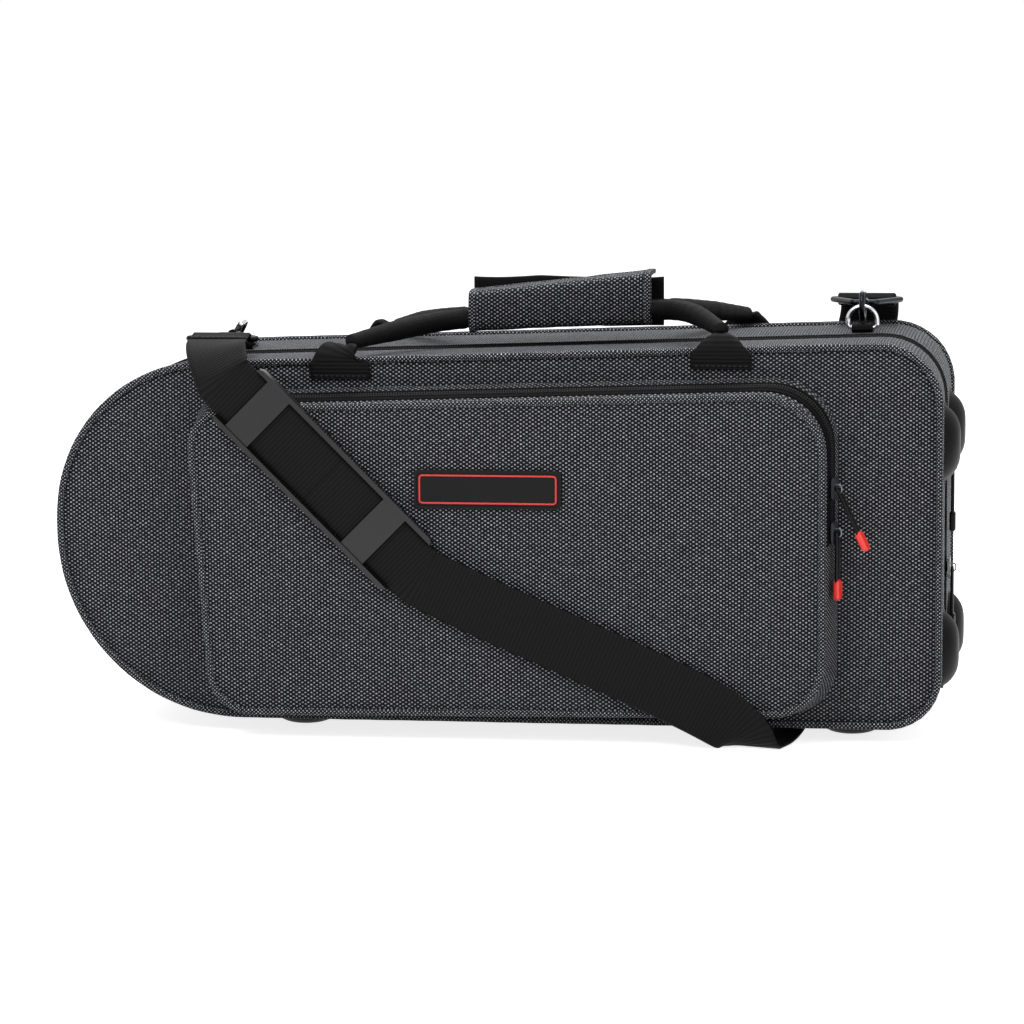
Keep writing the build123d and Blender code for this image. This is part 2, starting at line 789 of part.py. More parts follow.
strap_front_y = pad_back_y - pad_base - running_gap - strap_thickness / 2
pad_dir = (cos(radians(pad_angle)), sin(radians(pad_angle)))
pad_normal = (-pad_dir[1], pad_dir[0])


def along_pad(distance: float):
    """Point on the strap's centre line, from the middle of the shoulder pad."""
    return (
        pad_centre[0] + pad_dir[0] * distance,
        strap_front_y,
        pad_centre[1] + pad_dir[1] * distance,
    )


pad_across = (pad_normal[0], 0, pad_normal[1])
pad_along = (pad_dir[0], 0, pad_dir[1])
straight = pad_length / 2 + 9.0
left_start_y = eye_bar_y("left") - sewn_length - running_gap
left_start_z = claw_lift["left"]
floor_lift = strap_thickness / 2 + 0.2
front_upper_stations = (
    ((left_ring_x, left_start_y, left_start_z), (1, 0, 0), (0, -1, 0)),
    ((left_ring_x + 3, -100.0, left_start_z - 2.0), (0.98, 0, 0.2), (0.2, -0.8, -0.55)),
    ((left_ring_x + 10, -118.0, left_start_z - 11.5), (0.87, 0, 0.5), (0.42, -0.4, -0.8)),
    (along_pad(-straight), pad_across, pad_along),
    (along_pad(0), pad_across, pad_along),
)
write(ribbon(front_upper_stations), "strap_front_upper")

front_lower_stations = (
    (along_pad(0), pad_across, pad_along),
    (along_pad(straight), pad_across, pad_along),
    ((-26.0, strap_front_y, 98.0), (0.55, 0, 0.835), (0.835, 0, -0.55)),
    ((0.0, strap_front_y, 86.0), (0.42, 0, 0.907), (0.907, 0, -0.42)),
    ((88.0, strap_front_y, 48.5), (0.41, 0, 0.912), (0.912, 0, -0.41)),
    ((136.0, strap_front_y - 1.0, 27.0), (0.5, 0.05, 0.86), (0.84, 0.1, -0.5)),
    ((158.0, strap_front_y + 0.5, 13.5), (0.8, -0.22, 0.56), (0.5, 0.5, -0.6)),
    ((166.0, -111.0, floor_lift), (0.93, -0.36, 0), (0.36, 0.93, 0)),
)
write(ribbon(front_lower_stations), "strap_front_lower")

under_stations = (
    ((166.2, -110.6, floor_lift), (0.93, -0.36, 0), (0.36, 0.93, 0)),
    ((171.0, -92.0, floor_lift), (0.98, -0.2, 0), (0.2, 0.98, 0)),
    ((174.0, -50.0, floor_lift), (1, 0, 0), (0, 1, 0)),
    ((176.0, base_foot_y, floor_lift), (1, 0, 0), (0, 1, 0)),
    ((180.0, back_y + 8.0, floor_lift), (1, 0, 0), (0, 1, 0)),
)
write(ribbon(under_stations), "strap_under")

right_start_y = eye_bar_y("right") + sewn_length + running_gap
right_start_z = claw_lift["right"]
adjuster_x = 200.0
adjuster_z = 132.0
slack_y = back_reach - strap_thickness / 2
back_stations = (
    ((180.0, back_y + 8.4, floor_lift), (1, 0, 0), (0, 1, 0)),
    ((182.0, slack_y, 7.0), (1, 0, 0), (0, 0.5, 0.86)),
    ((185.0, slack_y, 32.0), (1, 0, 0), (0.05, -0.1, 1)),
    ((195.0, back_run_y, 104.0), (1, 0, 0), (0, 0, 1)),
    ((adjuster_x, back_run_y, adjuster_z), (1, 0, 0), (0, 0, 1)),
    ((right_ring_x - 4.0, back_run_y, right_start_z - 29.6), (1, 0, 0), (0.1, 0, 1)),
    ((right_ring_x, back_run_y - 1.0, right_start_z - 13.6), (1, 0, 0), (0, -0.2, 1)),
    ((right_ring_x, back_run_y - 7.0, right_start_z - 4.1), (1, 0, 0), (0, -0.8, 0.6)),
    ((right_ring_x, right_start_y, right_start_z), (1, 0, 0), (0, -1, 0)),
)
write(ribbon(back_stations), "strap_back")

adjuster_height = 24.0
adjuster_width = strap_width + 8.0
adjuster_thickness = 4.0
adjuster_bar = 4.0
with BuildPart() as strap_adjuster:
    with BuildSketch(facing_front(back_run_y + strap_thickness / 2 + 0.1)):
        with Locations((adjuster_x, adjuster_z)):
            RectangleRounded(adjuster_width, adjuster_height, 3)
            with GridLocations(0, (adjuster_height - adjuster_bar) / 2 - 0.5, 1, 2):
                RectangleRounded(strap_width + 1.0, 5.5, 1.2, mode=Mode.SUBTRACT)
    extrude(amount=-adjuster_thickness)
write(strap_adjuster.part, "strap_adjuster")

with BuildPart() as shoulder_pad:
    pad_plane = Plane(
        origin=(pad_centre[0], pad_back_y, pad_centre[1]), x_dir=pad_along, z_dir=(0, -1, 0)
    )
    with BuildSketch(pad_plane):
        RectangleRounded(pad_length, pad_width, 4)
    extrude(amount=pad_height)
    channel_low = pad_base
    channel_high = pad_base + strap_thickness + 2 * running_gap
    with BuildSketch(pad_plane.offset(channel_low)):
        Rectangle(pad_length, pad_width - 2 * pad_rail)
    extrude(amount=channel_high - channel_low, mode=Mode.SUBTRACT)
    with BuildSketch(pad_plane.offset(channel_high)):
        Rectangle(pad_length, pad_width - 2 * pad_rail)
    extrude(amount=pad_height - channel_high, mode=Mode.SUBTRACT)
    with BuildSketch(pad_plane.offset(channel_high)):
        with Locations((-pad_length / 2 + 19.0, 0), (pad_length / 2 - 31.0, 0)):
            Rectangle(19.0, pad_width - 2 * pad_rail)
    extrude(amount=2.0)
write(shoulder_pad.part, "shoulder_pad")

# ---------------------------------------------------------------- zipper sliders and their pulls
slider_width = 9.0
slider_length = 14.0
slider_thickness = 1.6
slider_lip = 1.0
bail_half_length = 2.4
bail_height = 3.6
bail_rod_radius = 0.5
pull_rod_radius = 0.9
pull_lift = 1.3  # from the slider to the middle of the pull's bar
pull_width = 5.4
pull_loop_length = 33.0
tip_width = 7.6
tip_thickness = 4.0
tip_start = 29.0
tip_length = 13.0
coil_top = zip_coil_height + running_gap


def slider(place: Plane) -> Part:
    """Slider body over the coil with a lip beside it and a wire bail; place is on the fabric."""
    body = place.offset(coil_top)
    with BuildPart() as runner:
        with BuildSketch(body):
            RectangleRounded(slider_width, slider_length, 3)
        extrude(amount=slider_thickness)
        with BuildSketch(body):
            with Locations(((slider_width - slider_lip) / 2, 0)):
                Rectangle(slider_lip, slider_length * 0.5)
        extrude(amount=-(zip_coil_height - zip_tape_thickness))
        top = body.offset(slider_thickness)
        bail_plane = Plane(origin=top.origin, x_dir=top.y_dir, z_dir=top.x_dir)
        with BuildLine(bail_plane) as path:
            FilletPolyline(
                (-bail_half_length, -0.3),
                (-bail_half_length, bail_height),
                (bail_half_length, bail_height),
                (bail_half_length, -0.3),
                radius=1.6,
            )
        with BuildSketch(Plane(path.line @ 0, z_dir=path.line % 0)):
            Circle(bail_rod_radius)
        sweep()
    return runner.part


def pull_plane(place: Plane, tilt: float) -> Plane:
    """Plane of a pull: origin in the bail, X across the pull, Y back along it to the bail."""
    pivot = place.offset(coil_top + slider_thickness + pull_lift)
    out = pivot.z_dir
    back = pivot.y_dir * cos(radians(tilt)) - out * sin(radians(tilt))
    return Plane(origin=pivot.origin, x_dir=pivot.x_dir, z_dir=pivot.x_dir.cross(back))


def pull(place: Plane, tilt: float, rod_radius: float) -> Part:
    """Closed loop of stiff cord through the slider's bail."""
    half = pull_width / 2
    corners = ((-half, 0), (half, 0), (half, -pull_loop_length), (-half, -pull_loop_length))
    with BuildPart() as loop:
        with BuildLine(pull_plane(place, tilt)) as path:
            FilletPolyline(*corners, radius=1.4, close=True)
        with BuildSketch(Plane(path.line @ 0, z_dir=path.line % 0)):
            Circle(rod_radius)
        sweep()
    return loop.part


def pull_tip(place: Plane, tilt: float) -> Part:
    """Moulded grip round the far end of the pull."""
    flat = pull_plane(place, tilt)
    with BuildPart() as grip:
        with BuildSketch(flat.offset(-tip_thickness / 2)):
            with Locations((0, -tip_start - tip_length / 2)):
                RectangleRounded(tip_width, tip_length, 2.5)
        extrude(amount=tip_thickness)
        ends = grip.faces().filter_by(GeomType.PLANE).sort_by(SortBy.AREA)[-2:]
        chamfer(ends.edges(), length=1.1)
        add(pull(place, tilt, pull_rod_radius + 0.05), mode=Mode.SUBTRACT)
    return grip.part


def end_face_place(z: float) -> Plane:
    """Place on the main zipper, on the flat end of the case."""
    return Plane(origin=(right_x, parting_y, z), x_dir=(0, 1, 0), z_dir=(1, 0, 0))


def pocket_place(z: float) -> Plane:
    """Place on the pocket's zipper, on the side of the pocket towards the flat end."""
    base_x = pocket_base_corners[1][0]
    lean = base_x - pocket_face_corners[1][0]
    width_dir = Vector(lean, pocket_depth, 0).normalized()
    origin = (base_x - lean * coil_share, pocket_y(coil_share), z)
    return Plane(origin=origin, x_dir=width_dir, z_dir=width_dir.cross(Vector(0, 0, 1)))


main_upper_z = 165.0
main_lower_z = 100.0
pocket_upper_z = 161.0
pocket_lower_z = 134.0
sliders = {
    "main_upper": (end_face_place(main_upper_z), 0.0),
    "main_lower": (end_face_place(main_lower_z), 0.0),
    "pocket_upper": (pocket_place(pocket_upper_z), 27.0),
    "pocket_lower": (pocket_place(pocket_lower_z), 0.0),
}
for name, (place, tilt) in sliders.items():
    write(slider(place), f"{name}_slider")
    write(pull(place, tilt, pull_rod_radius), f"{name}_pull")
    write(pull_tip(place, tilt), f"{name}_pull_tip")
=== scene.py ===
"""Looks of a soft trumpet case: woven shell halves, pocket, zippers, handles, strap and hooks."""

import sys

import json
import logging
import math
from dataclasses import dataclass, field
from enum import Enum
from typing import Callable, Dict, List, Optional, Sequence, Tuple

import bmesh
import bpy
import numpy as np
from mathutils import Matrix, Vector

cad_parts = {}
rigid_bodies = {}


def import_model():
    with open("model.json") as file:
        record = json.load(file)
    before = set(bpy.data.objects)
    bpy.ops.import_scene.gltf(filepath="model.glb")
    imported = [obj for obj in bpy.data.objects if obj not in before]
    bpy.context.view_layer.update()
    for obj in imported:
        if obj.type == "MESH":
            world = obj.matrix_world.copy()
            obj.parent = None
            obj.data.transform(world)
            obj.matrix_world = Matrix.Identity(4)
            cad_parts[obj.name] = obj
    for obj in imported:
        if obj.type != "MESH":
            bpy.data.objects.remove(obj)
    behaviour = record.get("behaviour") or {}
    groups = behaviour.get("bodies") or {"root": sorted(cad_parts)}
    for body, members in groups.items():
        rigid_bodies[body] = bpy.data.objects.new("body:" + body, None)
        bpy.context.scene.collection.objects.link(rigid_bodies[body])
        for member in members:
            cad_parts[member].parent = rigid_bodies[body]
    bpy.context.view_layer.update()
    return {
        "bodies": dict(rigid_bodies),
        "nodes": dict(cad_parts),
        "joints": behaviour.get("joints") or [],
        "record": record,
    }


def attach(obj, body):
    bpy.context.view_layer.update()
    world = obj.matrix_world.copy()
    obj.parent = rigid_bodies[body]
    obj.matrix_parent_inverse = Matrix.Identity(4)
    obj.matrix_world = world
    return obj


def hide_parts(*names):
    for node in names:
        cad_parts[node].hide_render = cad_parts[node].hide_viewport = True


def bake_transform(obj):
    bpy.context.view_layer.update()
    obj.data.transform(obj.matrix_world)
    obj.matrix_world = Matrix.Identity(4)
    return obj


LOG = logging.getLogger("trumpet_case")
MM = 0.001

# The row frame is centred over the case's floor area; places below are in the maker's millimetres.
ORIGIN_X = 4.375
ORIGIN_Y = -11.15

PARTING_Y = -8.0
FRONT_Y = -92.0
BACK_Y = 92.0
FLOOR_Z = 11.0
LEFT_X = -278.0
RIGHT_X = 278.0
BELL_HEIGHT = 219.5
END_HEIGHT = 238.0
TOP_SLOPE = (END_HEIGHT - BELL_HEIGHT) / (RIGHT_X - LEFT_X)
PIPING_RADIUS = 2.25
POCKET_DEPTH = 28.0
POCKET_FRONT_Y = FRONT_Y - POCKET_DEPTH

UV_PER_MM = MM * 10

# Zipper coils: distance between turns, length of a turn, its slant, and how far it stands from the parting.
COIL_PITCH = 1.6
COIL_TURN = 2.2
COIL_LEAN = 0.25
COIL_OFFSET = 1.25

STITCH_PITCH = 3.4
STITCH_RADIUS = 0.32
STITCH_SHARE = 0.72  # length of a stitch as a share of its pitch
HOOK_X = {"left": -180.0, "right": 224.0}

# Cloth simulation of the padded pieces.
CLOTH_QUALITY = 4
CLOTH_MASS = 0.3
CLOTH_FRAMES = 20

Array = np.ndarray


class Half(Enum):
    """Which half of the shell a piece belongs to."""

    LID = "lid"
    BASE = "base"

    @property
    def toward(self) -> int:
        """Direction from the parting plane to this half's panel, along Y."""
        return -1 if self is Half.LID else 1


def to_frame(points: Array) -> Array:
    """Turns the maker's millimetres into metres of the row frame.

    Args:
        points: array of shape (n, 3) or (3,).

    Returns:
        The same points in the row frame.
    """
    return (np.asarray(points, float) - (ORIGIN_X, ORIGIN_Y, 0.0)) * MM


def top_z(x: float) -> float:
    """Height of the shell's sloping top edge at a place along the case."""
    return FLOOR_Z + BELL_HEIGHT + (x - LEFT_X) * TOP_SLOPE


# ------------------------------------------------------------------------------------ outlines
@dataclass(frozen=True)
class Outline:
    """Closed convex outline with rounded corners, in the plane seen from the front."""

    corners: Tuple[Tuple[float, float], ...]
    radii: Tuple[float, ...]
    count: int = 220

    def points(self, inset: float = 0.0) -> Tuple[Array, Array]:
        """Evenly spaced points along the outline.

        Args:
            inset: distance drawn in from the outline, in millimetres.

        Returns:
            Points (n, 2) and their outward normals (n, 2), anticlockwise.
        """
        dense: List[Array] = []
        normals: List[Array] = []
        total = len(self.corners)
        for i in range(total):
            before, here, after = (np.array(self.corners[(i + k) % total]) for k in (-1, 0, 1))
            a = (before - here) / np.linalg.norm(before - here)
            b = (after - here) / np.linalg.norm(after - here)
            half = math.acos(float(np.clip(a @ b, -1, 1))) / 2
            middle = (a + b) / np.linalg.norm(a + b)
            centre = here + middle * self.radii[i] / math.sin(half)
            start, end = -np.array([-a[1], a[0]]), np.array([-b[1], b[0]])
            start = start if start @ middle < 0 else -start
            end = end if end @ middle < 0 else -end
            angle_0 = math.atan2(start[1], start[0])
            turn = (math.atan2(end[1], end[0]) - angle_0 + math.pi) % (2 * math.pi) - math.pi
            for share in np.linspace(0, 1, 24):
                angle = angle_0 + turn * share
                normal = np.array([math.cos(angle), math.sin(angle)])
                normals.append(normal)
                dense.append(centre + normal * self.radii[i])
        line, face = np.array(dense + dense[:1]), np.array(normals + normals[:1])
        run = np.r_[0, np.cumsum(np.linalg.norm(np.diff(line, axis=0), axis=1))]
        even = np.linspace(0, run[-1], self.count, endpoint=False)
        out = np.stack([np.interp(even, run, line[:, k]) for k in (0, 1)], 1)
        nor = np.stack([np.interp(even, run, face[:, k]) for k in (0, 1)], 1)
        nor /= np.linalg.norm(nor, axis=1)[:, None]
        return out - nor * inset, nor


CASE = Outline(
    (
        (LEFT_X, FLOOR_Z),
        (RIGHT_X, FLOOR_Z),
        (RIGHT_X, FLOOR_Z + END_HEIGHT),
        (LEFT_X, FLOOR_Z + BELL_HEIGHT),
    ),
    (117.0, 32.0, 38.0, 97.0),
)
POCKET_BACK = ((-178.0, 16.0), (216.0, 17.5), (216.0, 229.5), (-191.0, 217.0))
POCKET_FACE = ((-174.0, 17.5), (207.5, 22.0), (207.5, 219.5), (-188.0, 207.0))
POCKET_RADII = (26.0, 32.0, 38.0, 24.0)


def pocket_outline(share: float) -> Outline:
    """Pocket outline at a share of its depth.

    Args:
        share: 0 on the lid, 1 at the pocket's face.

    Returns:
        The outline there.
    """
    corners = tuple(
        (bx + (fx - bx) * share, bz + (fz - bz) * share)
        for (bx, bz), (fx, fz) in zip(POCKET_BACK, POCKET_FACE)
    )
    return Outline(corners, POCKET_RADII)


def at_depth(flat: Array, y: float) -> Array:
    """Points (n, 3) at one depth from places (n, 2) seen from the front."""
    return np.stack([flat[:, 0], np.full(len(flat), y), flat[:, 1]], 1)


def loop_at(outline: Outline, y: float, inset: float = 0.0) -> Array:
    """One closed loop of an outline at a depth, as points (n, 3)."""
    return at_depth(outline.points(inset)[0], y)


# ------------------------------------------------------------------------------------ meshes
def placed(name: str, data: bpy.types.ID) -> bpy.types.Object:
    """Puts data into the scene.

    Args:
        name: the new object's name.
        data: its mesh, lamp or camera.

    Returns:
        The new object.
    """
    piece = bpy.data.objects.new(name, data)
    bpy.context.scene.collection.objects.link(piece)
    return piece


def new_mesh(
    name: str, points: Array, faces: Sequence[Sequence[int]], uv: Optional[Array] = None
) -> bpy.types.Object:
    """Makes a smooth-shaded mesh object from points in the maker's millimetres.

    Args:
        name: the piece's name.
        points: vertices (n, 3).
        faces: vertex indices of each face.
        uv: optional place of each vertex on its cloth, (n, 2), in millimetres.

    Returns:
        The new object, linked to the scene.
    """
    mesh = bpy.data.meshes.new(name)
    mesh.from_pydata(to_frame(points).tolist(), [], [tuple(int(i) for i in f) for f in faces])
    mesh.validate()
    mesh.polygons.foreach_set("use_smooth", [True] * len(mesh.polygons))
    if uv is not None:
        layer = mesh.uv_layers.new(name="UVMap")
        loops = np.zeros(len(mesh.loops), int)
        mesh.loops.foreach_get("vertex_index", loops)
        layer.data.foreach_set("uv", (np.asarray(uv)[loops] * UV_PER_MM).ravel())
    return placed(name, mesh)


def tidy_normals(piece: bpy.types.Object) -> bpy.types.Object:
    """Makes every face of a closed piece point outwards.

    Args:
        piece: the object to mend, in place.

    Returns:
        The same object.
    """
    work = bmesh.new()
    work.from_mesh(piece.data)
    bmesh.ops.recalc_face_normals(work, faces=work.faces)
    work.to_mesh(piece.data)
    work.free()
    return piece


def grid_faces(
    rings: int, around: int, closed_around: bool = True, closed_rings: bool = False
) -> List[Tuple[int, ...]]:
    """Quads between successive rings of vertices.

    Args:
        rings: number of rings.
        around: vertices in each ring.
        closed_around: whether each ring joins its own start.
        closed_rings: whether the last ring joins the first.

    Returns:
        Vertex indices of each quad.
    """
    faces = []
    for r in range(rings if closed_rings else rings - 1):
        for a in range(around if closed_around else around - 1):
            b, n = (a + 1) % around, (r + 1) % rings
            faces.append((r * around + a, r * around + b, n * around + b, n * around + a))
    return faces


def swept(
    name: str,
    centres: Array,
    across: Array,
    normal: Array,
    profile: Callable[[float], Array],
    closed: bool = False,
) -> bpy.types.Object:
    """Sweeps a closed profile along a path.

    Args:
        name: the piece's name.
        centres: path points (n, 3).
        across: direction of the profile's first axis at each point.
        normal: direction of the profile's second axis at each point.
        profile: gives the profile's points (m, 2) at a share of the path.
        closed: whether the path's end joins its start.

    Returns:
        The new object, with its run along the path and round the profile as UV.
    """
    count = len(centres)
    step = np.linalg.norm(np.diff(centres, axis=0), axis=1)
    run = np.r_[0, np.cumsum(step)]
    rings, places = [], []
    for i in range(count):
        shape = profile(run[i] / max(run[-1], 1e-9))
        rings.append(centres[i] + shape[:, :1] * across[i] + shape[:, 1:] * normal[i])
        places.append(np.stack([shape[:, 0], np.full(len(shape), run[i])], 1))
    around = len(rings[0])
    faces = grid_faces(count, around, True, closed)
    points = np.concatenate(rings)
    if not closed:
        faces.append(tuple(range(around)))
        faces.append(tuple(range((count - 1) * around, count * around)))
    return tidy_normals(new_mesh(name, points, faces, np.concatenate(places)))


def round_profile(radius: Callable[[float], float], sides: int = 14) -> Callable[[float], Array]:
    """Circle whose radius changes along the path.

    Args:
        radius: gives the radius at a share of the path.
        sides: number of sides.

    Returns:
        Function that gives the profile at a share of the path.
    """
    angles = np.linspace(0, 2 * math.pi, sides, endpoint=False)
    unit = np.stack([np.cos(angles), np.sin(angles)], 1)
    return lambda share: unit * radius(share)


def flat_profile(
    width: Callable[[float], float], thickness: float, columns: int = 12
) -> Callable[[float], Array]:
    """Thin strip with rounded edges.

    Args:
        width: gives the width at a share of the path.
        thickness: its thickness.
        columns: points along each face.

    Returns:
        Function that gives the profile at a share of the path.
    """

    def shape(share: float) -> Array:
        """Profile at one share of the path."""
        half, thin = width(share) / 2, thickness / 2
        xs = np.linspace(-half + thin, half - thin, columns)
        upper = np.stack([xs, np.full(columns, thin)], 1)
        lower = np.stack([xs[::-1], np.full(columns, -thin)], 1)
        return np.concatenate([upper, [[half, 0.0]], lower, [[-half, 0.0]]])

    return shape


def spline(points: Array, samples: int) -> Array:
    """Smooth curve through control places, a quadratic B-spline.

    Args:
        points: control places (n, 3 or more); its columns past the third follow along.
        samples: number of points wanted.

    Returns:
        Points (samples, columns), evenly spaced by the first three columns.
    """
    pts = np.asarray(points, float)
    middles = (pts[:-1] + pts[1:]) / 2
    dense = [pts[0]]
    for i in range(1, len(pts) - 1):
        for t in np.linspace(0, 1, 24):
            dense.append((1 - t) ** 2 * middles[i - 1] + 2 * t * (1 - t) * pts[i] + t * t * middles[i])
    dense.append(pts[-1])
    line = np.array(dense)
    run = np.r_[0, np.cumsum(np.linalg.norm(np.diff(line[:, :3], axis=0), axis=1))]
    even = np.linspace(0, run[-1], samples)
    return np.stack([np.interp(even, run, line[:, k]) for k in range(line.shape[1])], 1)


def unit_rows(rows: Array) -> Array:
    """Each row scaled to length 1."""
    return rows / np.maximum(np.linalg.norm(rows, axis=1), 1e-9)[:, None]


def heading(line: Array) -> Array:
    """Direction of a line at each of its points."""
    return unit_rows(np.gradient(line, axis=0))


def square_to(rows: Array, along: Array) -> Array:
    """Each row turned square to the direction in the same row of `along`, which has length 1."""
    return unit_rows(rows - along * (rows * along).sum(1)[:, None])


def facing(rows: Array, hint: Array) -> Array:
    """Each row, turned round where it points against the hint."""
    return rows * np.sign((rows * hint).sum(1))[:, None]


def same(direction: Sequence[float], count: int) -> Array:
    """One direction repeated for every point."""
    return np.tile(np.asarray(direction, float), (count, 1))


def tube(
    name: str, points: Array, radius: Callable[[float], float], samples: int = 90, sides: int = 14
) -> bpy.types.Object:
    """Round tube along a smooth curve.

    Args:
        name: the piece's name.
        points: control places (n, 3).
        radius: gives the radius at a share of the path.
        samples: rings along it.
        sides: sides of each ring.

    Returns:
        The new object.
    """
    line = spline(points, samples)
    along = heading(line)
    seed = np.array([0.0, 0.0, 1.0])
    side = unit_rows(np.cross(along, seed) + 1e-6)
    up = np.cross(side, along)
    return swept(name, line, side, up, round_profile(radius, sides))


def wrinkle(points: Array, size: float, height: float, seed: int = 0) -> Array:
    """Smooth bumpy offset at each place, from a few fixed waves.

    Args:
        points: places (n, 3) in millimetres.
        size: wavelength of the largest wave.
        height: largest offset.
        seed: picks the set of waves.

    Returns:
        Offsets (n,).
    """
    rng = np.random.default_rng(seed)
    total = np.zeros(len(points))
    for octave in range(4):
        direction = rng.normal(size=3)
        direction /= np.linalg.norm(direction)
        wave = size / (1.6**octave)
        total += np.sin(points @ direction * 2 * math.pi / wave + rng.uniform(0, 6.28)) / (1.5**octave)
    return total / 2.6 * height


# ------------------------------------------------------------------------------------ materials
def linear(hex_colour: str) -> Tuple[float, float, float, float]:
    """Turns an sRGB hex colour to linear RGBA.

    Args:
        hex_colour: six digits after "#".

    Returns:
        Red, green, blue and alpha.
    """
    value = hex_colour.lstrip("#")
    parts = [int(value[i : i + 2], 16) / 255 for i in (0, 2, 4)]
    out = [p / 12.92 if p <= 0.04045 else ((p + 0.055) / 1.055) ** 2.4 for p in parts]
    return (out[0], out[1], out[2], 1.0)


class Recipe:
    """Node tree of one material while it is put together."""

    def __init__(self, name: str) -> None:
        """Starts an empty material with a Principled shader.

        Args:
            name: the material's name.
        """
        self.material = bpy.data.materials.new(name)
        self.material.use_nodes = True
        self.tree = self.material.node_tree
        self.tree.nodes.clear()
        self.output = self.tree.nodes.new("ShaderNodeOutputMaterial")
        self.shader = self.tree.nodes.new("ShaderNodeBsdfPrincipled")
        self.tree.links.new(self.shader.outputs[0], self.output.inputs[0])

    def add(
        self,
        kind: str,
        settings: Optional[dict] = None,
        values: Optional[dict] = None,
        links: Optional[dict] = None,
    ) -> bpy.types.Node:
        """Adds one node.

        Args:
            kind: the node's type without "ShaderNode".
            settings: attributes to set.
            values: constants for its inputs, by name or number.
            links: sockets for its inputs, by name or number.

        Returns:
            The node.
        """
        node = self.tree.nodes.new("ShaderNode" + kind)
        for key, value in (settings or {}).items():
            setattr(node, key, value)
        for key, value in (values or {}).items():
            node.inputs[key].default_value = value
        for key, socket in (links or {}).items():
            self.tree.links.new(socket, node.inputs[key])
        return node

    def calc(self, operation: str, *inputs: object) -> bpy.types.NodeSocket:
        """Adds one Math node.

        Args:
            operation: what it does.
            inputs: its inputs in order, numbers or sockets.

        Returns:
            Its output.
        """
        node = self.add("Math", {"operation": operation})
        for k, source in enumerate(inputs):
            if isinstance(source, bpy.types.NodeSocket):
                self.tree.links.new(source, node.inputs[k])
            else:
                node.inputs[k].default_value = source
        return node.outputs[0]

    def between(self, first: str, second: str, share: bpy.types.NodeSocket) -> None:
        """Mixes two hex colours into the Base Color.

        Args:
            first: colour where the share is 0.
            second: colour where it is 1.
            share: how much of the second.
        """
        colour = self.add("Mix", {"data_type": "RGBA"}, {6: linear(first), 7: linear(second)}, {0: share})
        self.link(colour.outputs[2], "Base Color")

    def relief(self, height: bpy.types.NodeSocket, depth_mm: float, strength: float) -> None:
        """Bump on the whole surface.

        Args:
            height: 0 at the bottom of the relief, 1 at its top.
            depth_mm: real depth.
            strength: share of it that shows.
        """
        bump = self.add(
            "Bump", values={"Strength": strength, "Distance": depth_mm * MM}, links={"Height": height}
        )
        self.link(bump.outputs[0], "Normal")

    def ranged(self, value: bpy.types.NodeSocket, low: float, high: float, name: str) -> None:
        """Links a value of 0 to 1, drawn out between two levels, to an input of the Principled shader.

        Args:
            value: what drives it.
            low: level at 0.
            high: level at 1.
            name: the input.
        """
        span = self.add("MapRange", values={"To Min": low, "To Max": high}, links={"Value": value})
        self.link(span.outputs[0], name)

    def constants(self, **values: float) -> None:
        """Sets constants on the Principled shader; underscores stand for spaces."""
        for key, value in values.items():
            self.shader.inputs[key.replace("_", " ")].default_value = value

    def link(self, socket: bpy.types.NodeSocket, name: str) -> None:
        """Links a socket to an input of the Principled shader."""
        self.tree.links.new(socket, self.shader.inputs[name])


